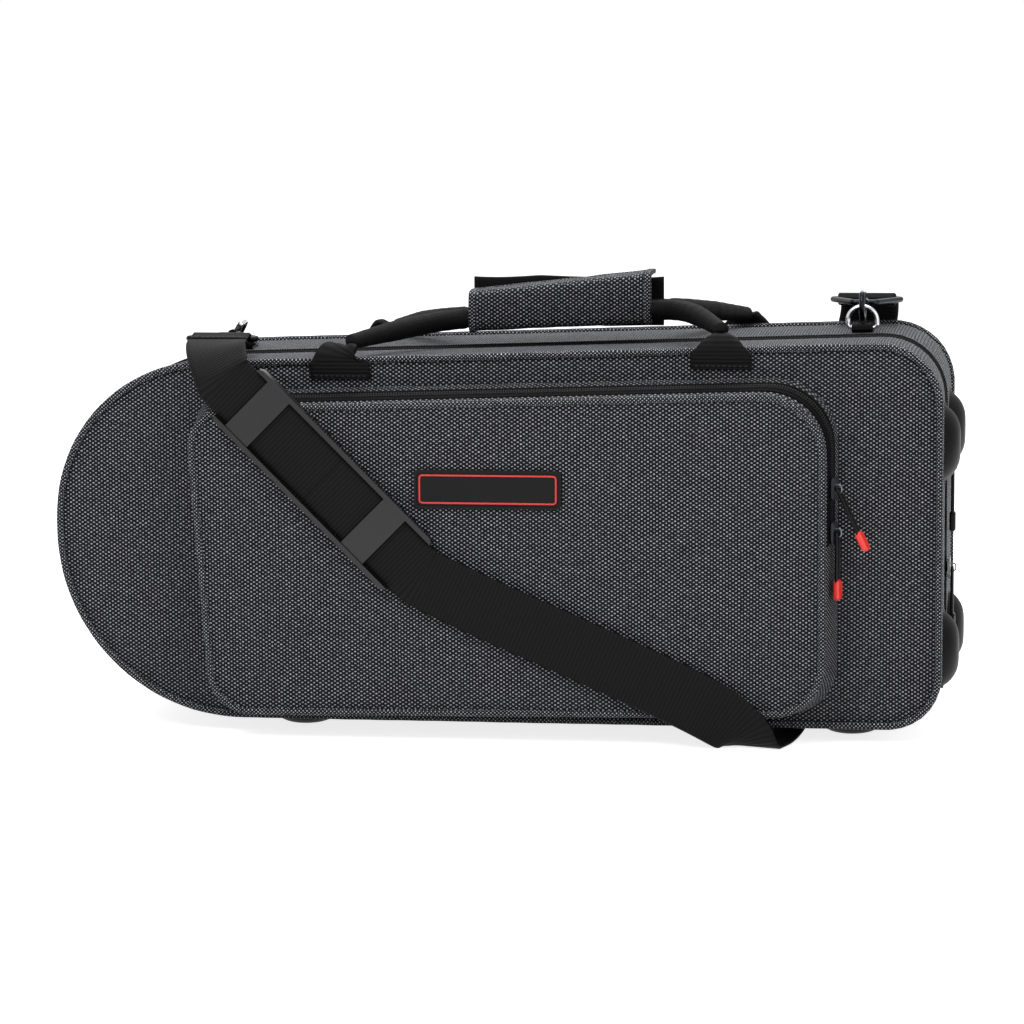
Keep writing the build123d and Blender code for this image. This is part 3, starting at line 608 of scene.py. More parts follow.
@dataclass(frozen=True)
class BallisticNylon:
    """Ballistic nylon, plain basket weave: floats in staggered rows over a dark ground, each float with a
    painted highlight in a pale colour.
    """

    name: str = "ballistic_nylon_woven"
    ground: str = "#060608"
    # Colour of the painted highlight on each float; the real yarn is as dark as the ground.
    float_highlight: str = "#b2b4bc"
    pitch_mm: Tuple[float, float, float] = (3.75, 3.6, 2.52)  # between floats along X, Y and Z
    relief_mm: float = 0.35
    float_edge: Tuple[float, float] = (0.28, 0.85)  # wave heights at which a float starts and is full
    corner_power: float = 7.0  # higher turns from one side's weave to the next more sharply
    shake: float = 1.5  # how far the yarns wander, in radians of the wave
    shake_scale: float = 900.0  # per metre, so over about a millimetre
    highlight_noise_scale: float = 620.0  # per metre
    highlight_range: Tuple[float, float] = (0.45, 1.0)  # brightness of the faintest and strongest painted highlights on the floats, varied at random
    roughness: Tuple[float, float] = (0.75, 0.48)  # of the ground and of a float

    def build(self) -> bpy.types.Material:
        """Puts the material together.

        Returns:
            The material.
        """
        r = Recipe(self.name)
        place = r.add("TexCoord").outputs["Object"]
        geometry = r.add("NewGeometry").outputs["Normal"]
        to_object = {"vector_type": "NORMAL", "convert_from": "WORLD", "convert_to": "OBJECT"}
        normal = r.add("VectorTransform", to_object, links={0: geometry})
        sides = r.add("SeparateXYZ", links={0: normal.outputs[0]})
        wave = [2 * math.pi / (pitch * MM) for pitch in self.pitch_mm]
        scaled = r.add("VectorMath", {"operation": "MULTIPLY"}, {1: wave}, {0: place})
        jitter = r.add(
            "TexNoise", values={"Scale": self.shake_scale, "Detail": 1.0}, links={"Vector": place}
        )
        shake = r.add(
            "VectorMath", {"operation": "SCALE"}, {"Scale": self.shake}, {0: jitter.outputs["Color"]}
        )
        moved = r.add("VectorMath", {"operation": "ADD"}, links={0: scaled.outputs[0], 1: shake.outputs[0]})
        axis = r.add("SeparateXYZ", links={0: moved.outputs[0]})
        sines = [r.calc("SINE", axis.outputs[k]) for k in range(3)]
        weave = share = None
        for k, (a, b) in enumerate(((1, 2), (0, 2), (0, 1))):
            edge = {"From Min": self.float_edge[0], "From Max": self.float_edge[1]}
            wave_height = {"Value": r.calc("MULTIPLY", sines[a], sines[b])}
            dots = r.add("MapRange", {"interpolation_type": "SMOOTHSTEP"}, edge, wave_height)
            strong = r.calc("POWER", r.calc("ABSOLUTE", sides.outputs[k]), self.corner_power)
            part = r.calc("MULTIPLY", dots.outputs[0], strong)
            weave = part if weave is None else r.calc("ADD", weave, part)
            share = strong if share is None else r.calc("ADD", share, strong)
        # Divided by the three sides' shares, so the weave stays as strong where the cloth turns a corner.
        floats = r.calc("DIVIDE", weave, share)
        # Random spread of the painted highlights' brightness from float to float.
        highlight_noise = r.add("TexNoise", values={"Scale": self.highlight_noise_scale, "Detail": 2.0}, links={"Vector": place})
        span = {"From Min": 0.3, "From Max": 0.7, "To Min": self.highlight_range[0], "To Max": self.highlight_range[1]}
        gain = r.add("MapRange", values=span, links={"Value": highlight_noise.outputs[0]})
        # Painted highlight: the pale colour on each float stands for the light its yarn catches; the ground
        # is the cloth's own near-black.
        r.between(self.ground, self.float_highlight, r.calc("MULTIPLY", floats, gain.outputs[0]))
        r.ranged(floats, *self.roughness, "Roughness")
        r.relief(floats, self.relief_mm, 0.5)
        r.constants(IOR=1.53, Specular_IOR_Level=0.12, Sheen_Weight=0.04, Sheen_Roughness=0.5)
        return r.material


@dataclass(frozen=True)
class Webbing:
    """Woven polypropylene webbing: dark yarn in ribs across the band, with a painted sheen on each rib's
    crest.
    """

    name: str = "polypropylene_webbing_woven"
    yarn: str = "#050505"
    # Colour of the painted sheen on the rib crests.
    rib_sheen: str = "#151517"
    rib_mm: float = 2.4
    yarn_mm: float = 1.3
    yarn_share: float = 0.35  # depth of the yarns beside that of the ribs
    relief_mm: float = 0.4

    def build(self) -> bpy.types.Material:
        """Puts the material together.

        Returns:
            The material.
        """
        r = Recipe(self.name)
        cloth = r.add("TexCoord").outputs["UV"]
        axis = r.add("SeparateXYZ", links={0: cloth})
        per_mm = 2 * math.pi / UV_PER_MM
        noise = r.add("TexNoise", values={"Scale": 60.0, "Detail": 2.0}, links={"Vector": cloth})
        rib = r.calc(
            "SINE", r.calc("MULTIPLY_ADD", axis.outputs[1], per_mm / self.rib_mm, noise.outputs[0])
        )
        yarn = r.calc("SINE", r.calc("MULTIPLY", axis.outputs[0], per_mm / self.yarn_mm))
        pair = r.calc("MULTIPLY_ADD", yarn, self.yarn_share, rib)
        span = {"From Min": -1 - self.yarn_share, "From Max": 1 + self.yarn_share}
        height = r.add("MapRange", values=span, links={"Value": pair}).outputs[0]
        # Painted sheen: each rib's crest is coloured paler for the light it catches; the yarn colour is the
        # webbing's own.
        r.between(self.yarn, self.rib_sheen, height)
        r.relief(height, self.relief_mm, 0.7)
        r.constants(Roughness=0.6, IOR=1.49, Specular_IOR_Level=0.09)
        return r.material


@dataclass(frozen=True)
class Grained:
    """Moulded, painted, plated or napped surface with one fine grain in it."""

    name: str
    colour: str
    second: str
    grain_mm: float
    relief_mm: float
    roughness: float
    ior: float = 1.5
    metallic: float = 0.0
    sheen: float = 0.0
    coat: float = 0.0
    specular: float = 0.5
    cloud_scale: float = 22.0  # per metre, for the slow change of shine across the surface
    shine_spread: float = 0.06
    least_roughness: float = 0.03

    def build(self) -> bpy.types.Material:
        """Puts the material together.

        Returns:
            The material.
        """
        r = Recipe(self.name)
        place = r.add("TexCoord").outputs["Object"]
        fine = {"Scale": 1 / (self.grain_mm * MM), "Detail": 3.0, "Roughness": 0.55}
        grain = r.add("TexNoise", values=fine, links={"Vector": place})
        cloudy = r.add(
            "TexNoise", values={"Scale": self.cloud_scale, "Detail": 2.0}, links={"Vector": place}
        )
        both = r.calc("MULTIPLY", grain.outputs[0], cloudy.outputs[0])
        mixed = r.add("MapRange", values={"From Min": 0.12, "From Max": 0.42}, links={"Value": both})
        r.between(self.colour, self.second, mixed.outputs[0])
        low = max(self.roughness - self.shine_spread, self.least_roughness)
        r.ranged(cloudy.outputs[0], low, self.roughness + self.shine_spread, "Roughness")
        r.relief(grain.outputs[0], self.relief_mm, 0.6)
        values = {"Metallic": self.metallic, "Sheen_Weight": self.sheen, "Coat_Weight": self.coat}
        values["Specular_IOR_Level"] = self.specular
        if not self.metallic:
            values["IOR"] = self.ior
        r.constants(**values)
        return r.material


@dataclass
class Finishes:
    """Every finish on the case, built once."""

    made: Dict[str, bpy.types.Material] = field(default_factory=dict)

    def build(self) -> "Finishes":
        """Builds them all.

        Returns:
            These finishes.
        """
        recipes = {
            # Body cloth: a nearly black ground with a painted highlight on each float.
            "shell": BallisticNylon(),
            # Binding is the same cloth cut on the bias over a cord, so its floats, each with a painted
            # highlight, sit closer.
            "binding": BallisticNylon(
                name="bias_binding_woven", ground="#08080a", float_highlight="#c6c8cf", pitch_mm=(2.5, 2.2, 2.2)
            ),
            # Flat straps and tabs read as nearly black, with faint ribs across them, each with a painted
            # sheen.
            "webbing": Webbing(),
            # The handles' webbing is rolled tight, so its ribs are finer and their painted sheen is dimmer.
            "roll": Webbing(
                "polypropylene_webbing_rolled", yarn="#030303", rib_sheen="#0e0e10", rib_mm=1.5, yarn_mm=1.1
            ),
            # Knitted zipper tape reads as flat near-black cloth.
            "tape": Grained(
                "polyester_zipper_tape_knitted", "#050506", "#0e0e10", 0.9, 0.15, 0.8, 1.53, specular=0.06
            ),
            # Extruded nylon coil catches a small highlight on each turn.
            "coil": Grained(
                "nylon_coil_extruded", "#08080a", "#141416", 1.2, 0.02, 0.3, 1.53, specular=0.3
            ),
            # Compression moulded rubber is satin with a faint bloom.
            "rubber": Grained(
                "rubber_compression_moulded", "#050506", "#0a0a0b", 0.8, 0.06, 0.5, 1.52, specular=0.08
            ),
            # Soft moulded vinyl is nearly matt, so the badge reads as a plain dark plate.
            "badge": Grained("soft_pvc_moulded", "#0a0a0b", "#111113", 0.6, 0.05, 0.5, 1.54, specular=0.12),
            # The same vinyl in red, for the raised line round the badge.
            "badge_line": Grained("soft_pvc_moulded_red", "#c2231c", "#cf2f26", 0.6, 0.03, 0.45, 1.54),
            # Textured elastomer scatters the studio light, so the pad looks grey along its faces.
            "pad": Grained(
                "thermoplastic_elastomer_textured",
                "#0c0c0e",
                "#151518",
                0.5,
                0.04,
                0.26,
                1.5,
                specular=0.35,
            ),
            # Nickel under chromium: bright, with very slight polishing waves.
            "chrome": Grained("chromium_plated_wire", "#c9cbd0", "#dcdde1", 2.5, 0.01, 0.14, metallic=1.0),
            # Black nickel on die-cast zinc: dark metal with a soft light on its edges.
            "slider": Grained(
                "zinc_die_cast_black_nickel", "#1d1e20", "#303134", 1.5, 0.02, 0.24, metallic=1.0
            ),
            # Tumbled gunmetal plate is brighter than black nickel, with soft highlights.
            "gunmetal": Grained(
                "zinc_die_cast_gunmetal_plate", "#6a6c70", "#8d8f94", 1.5, 0.02, 0.32, metallic=1.0
            ),
            # Coated cord is glossy black, with a thin highlight along it.
            "cord": Grained("pvc_coated_cord", "#040405", "#080809", 1.0, 0.03, 0.3, 1.53, specular=0.15),
            # Moulded red plastic, satin, on the pulls of the pocket.
            "red": Grained("abs_moulded_red", "#d8261c", "#e23328", 0.6, 0.03, 0.38, 1.53),
            # Spark texture leaves moulded acetal an even dark satin.
            "acetal": Grained(
                "acetal_spark_textured", "#0f0f11", "#18181a", 0.7, 0.05, 0.5, 1.48, specular=0.3
            ),
            # Cut pile drinks the light and shows a soft bloom at grazing angles.
            "plush": Grained(
                "nylon_plush_cut_pile", "#0c0d10", "#1b1c21", 1.4, 0.7, 0.95, 1.53, sheen=0.35, specular=0.1
            ),
            # Knitted loops are matt and a little uneven.
            "loop_cloth": Grained(
                "hook_and_loop_knitted",
                "#060607",
                "#131315",
                0.8,
                0.5,
                0.92,
                1.53,
                sheen=0.04,
                specular=0.1,
            ),
            # Bonded thread is a little paler than the webbing it holds.
            "stitch": Grained(
                "bonded_nylon_thread", "#1d1d20", "#303135", 0.5, 0.02, 0.5, 1.53, specular=0.3
            ),
        }
        self.made = {key: recipe.build() for key, recipe in recipes.items()}
        return self

    def dress(self, piece: bpy.types.Object, key: str) -> bpy.types.Object:
        """Gives a piece one finish in every slot.

        Args:
            piece: the object.
            key: the finish's key.

        Returns:
            The same object.
        """
        piece.data.materials.clear()
        piece.data.materials.append(self.made[key])
        return piece


# ------------------------------------------------------------------------------------ soft forms
@dataclass
class SoftForm:
    """Closed cloth form built from loops that have the same number of points."""

    name: str
    loops: List[Array]
    pinned: Sequence[int]
    pressure: float
    cap_mm: float

    def build(self) -> bpy.types.Object:
        """Builds the mesh and puffs it with a short cloth simulation.

        Returns:
            The new object.
        """
        around = len(self.loops[0])
        points = np.concatenate(self.loops)
        first, last = self.loops[0].mean(0), self.loops[-1].mean(0)
        faces: List[Tuple[int, ...]] = list(grid_faces(len(self.loops), around))
        points = np.concatenate([points, [first, last]])
        start, end = len(points) - 2, len(points) - 1
        base = (len(self.loops) - 1) * around
        faces += [(start, (a + 1) % around, a) for a in range(around)]
        faces += [(end, base + a, base + (a + 1) % around) for a in range(around)]
        piece = tidy_normals(new_mesh(self.name, points, faces))
        held = [i for loop in self.pinned for i in range(loop * around, (loop + 1) * around)]
        puff(piece, self.pressure, self.cap_mm, held)
        return piece


def puff(piece: bpy.types.Object, pressure: float, cap_mm: float, held: Sequence[int]) -> None:
    """Swells a closed mesh with the Cloth modifier, then limits how far each point moved.

    Args:
        piece: the object, in place.
        pressure: air pressure inside it.
        cap_mm: largest move of a point.
        held: vertices that stay where they are.
    """
    rest = np.zeros(len(piece.data.vertices) * 3)
    piece.data.vertices.foreach_get("co", rest)
    cloth = piece.modifiers.new("cloth", "CLOTH")
    cloth.settings.quality = CLOTH_QUALITY
    cloth.settings.mass = CLOTH_MASS
    cloth.settings.use_pressure = True
    cloth.settings.uniform_pressure_force = pressure
    cloth.settings.effector_weights.gravity = 0
    cloth.collision_settings.use_collision = False
    if held:
        group = piece.vertex_groups.new(name="held")
        group.add([int(i) for i in held], 1.0, "REPLACE")
        cloth.settings.vertex_group_mass = "held"
    cloth.point_cache.frame_start = 1
    cloth.point_cache.frame_end = CLOTH_FRAMES
    scene = bpy.context.scene
    for frame in range(1, CLOTH_FRAMES + 1):
        scene.frame_set(frame)
    shaped = piece.evaluated_get(bpy.context.evaluated_depsgraph_get()).to_mesh()
    moved = np.zeros(len(rest))
    shaped.vertices.foreach_get("co", moved)
    piece.to_mesh_clear()
    step = (moved - rest).reshape(-1, 3)
    size = np.linalg.norm(step, axis=1)
    limit = np.minimum(1.0, cap_mm * MM / np.maximum(size, 1e-9))
    piece.modifiers.remove(cloth)
    scene.frame_set(1)
    piece.data.vertices.foreach_set("co", (rest.reshape(-1, 3) + step * limit[:, None]).ravel())
    piece.data.update()


def soft_copy(
    name: str,
    nodes: Dict[str, bpy.types.Object],
    node: str,
    voxel_mm: float,
    pressure: float,
    cap_mm: float,
) -> bpy.types.Object:
    """Remeshed copy of a CAD node that a short cloth simulation rounds off.

    Args:
        name: the new piece's name.
        nodes: the CAD nodes.
        node: the node to copy.
        voxel_mm: size of the remesh.
        pressure: air pressure of the simulation, 0 for none.
        cap_mm: largest move of a point.

    Returns:
        The new object.
    """
    piece = placed(name, nodes[node].data.copy())
    piece.data.name = name
    remesh = piece.modifiers.new("voxels", "REMESH")
    remesh.mode = "VOXEL"
    remesh.voxel_size = voxel_mm * MM
    remesh.use_smooth_shade = True
    smooth = piece.modifiers.new("smooth", "SMOOTH")
    smooth.factor = 0.5
    smooth.iterations = 6
    shaped = bpy.data.meshes.new_from_object(piece.evaluated_get(bpy.context.evaluated_depsgraph_get()))
    piece.modifiers.clear()
    piece.data = shaped
    shaped.polygons.foreach_set("use_smooth", [True] * len(shaped.polygons))
    if pressure:
        puff(piece, pressure, cap_mm, [])
    return piece


# ------------------------------------------------------------------------------------ small pieces in rows
def beads(
    name: str, places: Array, along: Array, normal: Array, length: float, radius: float, sides: int = 6
) -> bpy.types.Object:
    """One mesh of many small rounded rods, such as zipper teeth or stitches.

    Args:
        name: the piece's name.
        places: middle of each rod (n, 3).
        along: direction of each rod.
        normal: direction out of the cloth at each rod.
        length: rod length.
        radius: rod radius.
        sides: sides of each rod.

    Returns:
        The new object.
    """
    side = unit_rows(np.cross(along, normal))
    angles = np.linspace(0, 2 * math.pi, sides, endpoint=False)
    rings = ((-0.5, 0.35), (-0.36, 1.0), (0.36, 1.0), (0.5, 0.35))
    points, faces = [], []
    around = len(angles)
    for k in range(len(places)):
        base = k * around * len(rings)
        for share, wide in rings:
            ring = places[k] + along[k] * share * length
            points.append(
                ring + radius * wide * (
                    np.cos(angles)[:, None] * side[k] + np.sin(angles)[:, None] * normal[k]
                )
            )
        faces += [tuple(base + i for i in f) for f in grid_faces(len(rings), around)]
        faces.append(tuple(base + i for i in range(around)))
        faces.append(tuple(base + (len(rings) - 1) * around + i for i in range(around)))
    return new_mesh(name, np.concatenate(points), faces)


def row_places(line: Array, pitch: float) -> Tuple[Array, Array]:
    """Evenly spaced places along a line.

    Args:
        line: points (n, 3).
        pitch: distance between places.

    Returns:
        The places and the line's direction at each.
    """
    run = np.r_[0, np.cumsum(np.linalg.norm(np.diff(line, axis=0), axis=1))]
    even = np.arange(pitch / 2, run[-1], pitch)
    at = np.stack([np.interp(even, run, line[:, k]) for k in range(3)], 1)
    ahead = np.stack([np.interp(even + 0.1, run, line[:, k]) for k in range(3)], 1)
    behind = np.stack([np.interp(even - 0.1, run, line[:, k]) for k in range(3)], 1)
    return at, unit_rows(ahead - behind)


def stitch_row(
    name: str, line: Array, normal: Sequence[float], pitch: float = STITCH_PITCH
) -> bpy.types.Object:
    """Lockstitches sunk a little into the cloth along a line.

    Args:
        name: the piece's name.
        line: points of the line.
        normal: direction out of the cloth.
        pitch: distance between stitches.

    Returns:
        The new object.
    """
    at, along = row_places(np.asarray(line, float), pitch)
    return beads(name, at, along, same(normal, len(at)), pitch * STITCH_SHARE, STITCH_RADIUS)


@dataclass
class Case:
    """What every sub-assembly works with: the CAD nodes and the finishes."""

    nodes: Dict[str, bpy.types.Object]
    finishes: Finishes

    def finish(self, piece: bpy.types.Object, key: str, body: str, *replaced: str) -> bpy.types.Object:
        """Dresses a piece, puts it on its body and hides the CAD nodes it stands for.

        Args:
            piece: the new piece, in place.
            key: its finish.
            body: CAD body that it rides on.
            replaced: CAD nodes that it stands for.

        Returns:
            The piece.
        """
        self.finishes.dress(piece, key)
        if replaced:
            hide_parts(*replaced)
        if body:
            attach(piece, body)
        LOG.info("%s: %s on %s, %d faces", piece.name, key, body or "blend", len(piece.data.polygons))
        return piece

    def keep(self, node: str, key: str, bevel_mm: float = 0.0) -> None:
        """Keeps a rigid CAD node as it is and gives it a finish and slightly rounded edges.

        Args:
            node: the CAD node.
            key: its finish.
            bevel_mm: width of the rounding, 0 for none.
        """
        piece = self.nodes[node]
        self.finishes.dress(piece, key)
        if bevel_mm:
            bevel = piece.modifiers.new("edges", "BEVEL")
            bevel.width = bevel_mm * MM
            bevel.segments = 2
            bevel.limit_method = "ANGLE"
            bevel.angle_limit = math.radians(35)
        LOG.info("%s: %s, kept", node, key)


# ------------------------------------------------------------------------------------ shell
@dataclass
class ShellHalf:
    """One foam-cored half of the shell with its piping, zipper tape, hinge tape and feet."""

    case: Case
    half: Half
    depth: float
    wall: float = 8.0
    seat: float = 3.2
    tape_width: float = 11.0
    tape_thickness: float = 0.8
    zip_end_height: float = 48.0
    crown_mm: float = 1.0
    side_bulge: float = 0.9

    @property
    def outer_y(self) -> float:
        """Depth of the half's panel."""
        return PARTING_Y + self.half.toward * self.depth

    def panel_rings(self, y: float, inset: float, crown: float, steps: int) -> List[Array]:
        """Rings that fill a panel, from its middle outwards.

        Args:
            y: depth of the panel's edge.
            inset: how far the edge is drawn in.
            crown: how far the middle stands out.
            steps: number of rings.

        Returns:
            The rings, each (n, 3).
        """
        edge = loop_at(CASE, y, inset)
        middle = edge.mean(0)
        rings = []
        for share in np.linspace(0.08, 1.0, steps):
            ring = middle + (edge - middle) * share
            ring[:, 1] += self.half.toward * crown * (1 - share**4)
            rings.append(ring)
        return rings

    def shell(self) -> bpy.types.Object:
        """Woven cover over foam: outer panel, wall, rim, inner wall and inner panel.

        Returns:
            The new object.
        """
        t = self.half.toward
        loops = self.panel_rings(self.outer_y, self.seat, self.crown_mm, 15)
        pinned = [len(loops) - 1]
        wall_start = self.outer_y - t * self.seat
        tape_end = PARTING_Y + t * (self.tape_width + 1.0)
        for share in np.linspace(0, 1, 9):
            bulge = self.side_bulge * math.sin(math.pi * share)
            loops.append(loop_at(CASE, wall_start + (tape_end - wall_start) * share, -bulge))
        pinned += [len(loops) - 9, len(loops) - 1]
        rim_y = PARTING_Y + t * 0.15
        for y, inset in (
            (rim_y + t * 1.5, 0.0), (rim_y, 0.6), (rim_y, self.wall - 0.6), (rim_y + t * 1.0, self.wall)
        ):
            loops.append(loop_at(CASE, y, inset))
            pinned.append(len(loops) - 1)
        floor_y = self.outer_y - t * self.wall
        for share in np.linspace(0.15, 1.0, 5):
            loops.append(loop_at(CASE, rim_y + (floor_y - rim_y) * share, self.wall))
            pinned.append(len(loops) - 1)
        for ring in reversed(self.panel_rings(floor_y, self.wall + 2.0, 0.0, 5)):
            loops.append(ring)
            pinned.append(len(loops) - 1)
        piece = SoftForm(f"{self.half.value}_cover", loops, pinned, pressure=3.0, cap_mm=1.2).build()
        self.case.finish(piece, "shell", self.half.value, f"{self.half.value}_shell")
        return piece

    def piping(self) -> bpy.types.Object:
        """Bias binding over a cord, sewn round the panel's edge."""
        name = self.half.value
        return piped_edge(self.case, f"{name}_piping_cloth", CASE, self.outer_y, name, f"{name}_piping")

    def zipper(self) -> None:
        """Tape and coil of this side of the main zipper."""
        t = self.half.toward
        flat, nor = CASE.points()
        keep = flat[:, 1] > FLOOR_Z + self.zip_end_height
        start = int(np.argmax(keep & ~np.roll(keep, 1)))
        order = [(start + k) % len(flat) for k in range(int(keep.sum()))]
        line, out = at_depth(flat[order], PARTING_Y), at_depth(nor[order], 0.0)
        over = same((0, t, 0), len(order))
        width, thick = self.tape_width, self.tape_thickness
        woven = thick * 0.7
        section = np.array(
            [
                (0.2, 0.02),
                (0.2, thick),
                (3.0, thick),
                (3.4, woven),
                (width - 1, woven),
                (width, 0.3),
                (width, 0.02),
            ]
        )
        tape = swept(f"main_tape_{self.half.value}", line, over, out, lambda share: section)
        self.case.finish(tape, "tape", self.half.value, f"main_zipper_{self.half.value}_side")
        at, along = row_places(line, COIL_PITCH)
        spread = same((0, t, 0), len(at))
        out_at = facing(unit_rows(np.cross(along, spread)), at - line.mean(0))
        middle = at + spread * COIL_OFFSET + out_at * (thick + 0.45)
        coil = beads(
            f"main_coil_{self.half.value}",
            middle,
            unit_rows(spread + along * COIL_LEAN),
            out_at,
            COIL_TURN,
            0.55,
        )
        self.case.finish(coil, "coil", self.half.value)

    def dress_small(self) -> None:
        """Finishes for the hinge tape and the feet."""
        name = self.half.value
        self.case.keep(f"hinge_tape_{name}_side", "tape")
        for kind in ("bottom", "end"):
            self.case.keep(f"{name}_{kind}_feet", "rubber")

    def build(self) -> None:
        """Builds the whole half."""
        self.shell()
        self.piping()
        self.zipper()
        self.dress_small()


def piped_edge(case: Case, name: str, outline: Outline, y: float, body: str, node: str) -> bpy.types.Object:
    """Fat piping along an outline, with the slight lumps of a cord under cloth.

    Args:
        case: the case being dressed.
        name: the piece's name.
        outline: where it runs, seen from the front.
        y: its depth.
        body: CAD body that it rides on.
        node: CAD node that it stands for.

    Returns:
        The new object.
    """
    flat, nor = outline.points()
    count = len(flat)
    centres, out = at_depth(flat, y), at_depth(nor, 0.0)
    back = same((0, 1, 0), count)
    lumps = 1 + 0.025 * np.sin(np.arange(count) * 1.7) + 0.02 * np.sin(np.arange(count) * 0.37)
    angles = np.linspace(0, 2 * math.pi, 14, endpoint=False)
    rings = [
        centres[i] + PIPING_RADIUS * lumps[i] * (
            np.cos(angles)[:, None] * out[i] + np.sin(angles)[:, None] * back[i]
        )
        for i in range(count)
    ]
    piece = tidy_normals(new_mesh(name, np.concatenate(rings), grid_faces(count, len(angles), True, True)))
    return case.finish(piece, "binding", body, node)


# ------------------------------------------------------------------------------------ pocket
@dataclass
class Pocket:
    """Front pocket: puffed bag, piping, zipper and badge."""

    case: Case
    body: str = "lid"
    tape_shares: Tuple[float, float] = (0.30, 0.74)  # where the zipper tape lies in the pocket's depth
    zip_left_x: float = -150.0
    zip_stop_z: float = 126.0
    zip_turn: float = 150.0  # past this X and height the zipper is over the top or down the side
    panel_proud: float = 1.5
    badge_centre: Tuple[float, float] = (1.0, 159.8)
    badge_size: Tuple[float, float] = (92.0, 24.0)
    badge_thickness: float = 2.0
    key_line_inset: float = 3.4
    key_line_corner: float = 1.6

    def bag(self) -> bpy.types.Object:
        """Gusset and panel in one piece, pinched at the piping.

        Returns:
            The new object.
        """
        loops = [loop_at(pocket_outline(0.0), FRONT_Y - 0.2, 4.0)]
        shares = np.linspace(0.0, 0.92, 10)
        loops += [loop_at(pocket_outline(share), FRONT_Y - POCKET_DEPTH * share) for share in shares]
        face_y = POCKET_FRONT_Y - self.panel_proud + 0.9
        edge = loop_at(pocket_outline(1.0), face_y, 2.2)
        middle = edge.mean(0)
        loops += [middle + (edge - middle) * share for share in np.linspace(1.0, 0.06, 17)]
        pinned = [0, 1, 10, 11]
        piece = SoftForm("pocket_bag", loops, pinned, pressure=2.5, cap_mm=0.7).build()
        self.case.finish(piece, "shell", self.body, "pocket_gusset", "pocket_panel")
        return piece

    def zipper(self) -> None:
        """Tape and coils over the top of the pocket and down towards the flat end."""
        low, _ = pocket_outline(self.tape_shares[0]).points()
        high, _ = pocket_outline(self.tape_shares[1]).points()
        middle, nor = pocket_outline(sum(self.tape_shares) / 2).points()
        over_top = (middle[:, 0] > self.zip_left_x) & (middle[:, 1] > self.zip_turn)
        down_side = (middle[:, 0] > self.zip_turn) & (middle[:, 1] > self.zip_stop_z)
        keep = over_top | down_side
        start = int(np.argmax(keep & ~np.roll(keep, 1)))
        order = [(start + k) % len(middle) for k in range(int(keep.sum()))]
        y_mid = FRONT_Y - POCKET_DEPTH * sum(self.tape_shares) / 2
        span = POCKET_DEPTH * (self.tape_shares[1] - self.tape_shares[0])
        line = at_depth(middle[order], y_mid)
        over = at_depth(high[order] - low[order], -span)
        width = float(np.linalg.norm(over, axis=1).mean())
        over = unit_rows(over)
        out = square_to(at_depth(nor[order], 0.0), over)
        half = width / 2
        section = np.array(
            [[-half, 0.05], [-half, 0.6], [-half + 1.2, 0.8], [half - 1.2, 0.8], [half, 0.6], [half, 0.05]]
        )
        tape = swept("pocket_tape", line, over, out, lambda share: section)
        self.case.finish(tape, "tape", self.body, "pocket_zipper")
        at, along = row_places(line, COIL_PITCH)
        run = np.r_[0, np.cumsum(np.linalg.norm(np.diff(line, axis=0), axis=1))]
        even = np.arange(COIL_PITCH / 2, run[-1], COIL_PITCH)[: len(at)]
        over_at = unit_rows(np.stack([np.interp(even, run, over[:, k]) for k in range(3)], 1))
        out_at = unit_rows(np.stack([np.interp(even, run, out[:, k]) for k in range(3)], 1))
        for side, sign in (("front", 1.0), ("back", -1.0)):
            middle_at = at + over_at * sign * COIL_OFFSET + out_at * 1.15
            coil = beads(
                f"pocket_coil_{side}",
                middle_at,
                unit_rows(over_at + along * COIL_LEAN * sign),
                out_at,
                COIL_TURN,
                0.5,
            )
            self.case.finish(coil, "coil", self.body)

    def badge(self) -> None:
        """Plain moulded badge with a raised red key line."""
        self.case.keep("badge", "badge", 0.4)
        (cx, cz), (wide, tall) = self.badge_centre, self.badge_size
        half_x, half_z = wide / 2 - self.key_line_inset, tall / 2 - self.key_line_inset
        turns = ((-1, -1), (1, -1), (1, 1), (-1, 1))
        corners = tuple((cx + sx * half_x, cz + sz * half_z) for sx, sz in turns)
        flat, nor = Outline(corners, (self.key_line_corner,) * 4, 160).points()
        floor_y = POCKET_FRONT_Y - self.panel_proud - self.badge_thickness * 2 / 3
        line, out = at_depth(flat, floor_y), at_depth(nor, 0.0)
        front = same((0, -1, 0), len(flat))
        section = np.array(
            [[-0.62, -0.1], [-0.5, 0.5], [-0.3, 0.62], [0.3, 0.62], [0.5, 0.5], [0.62, -0.1]]
        )
        ring = swept("badge_key_line", line, out, front, lambda share: section, closed=True)
        self.case.finish(ring, "badge_line", self.body)

    def build(self) -> None:
        """Builds the pocket."""
        self.bag()
        piped_edge(
            self.case,
            "pocket_piping_cloth",
            pocket_outline(1.0),
            POCKET_FRONT_Y,
            self.body,
            "pocket_piping",
        )
        self.zipper()
        self.badge()


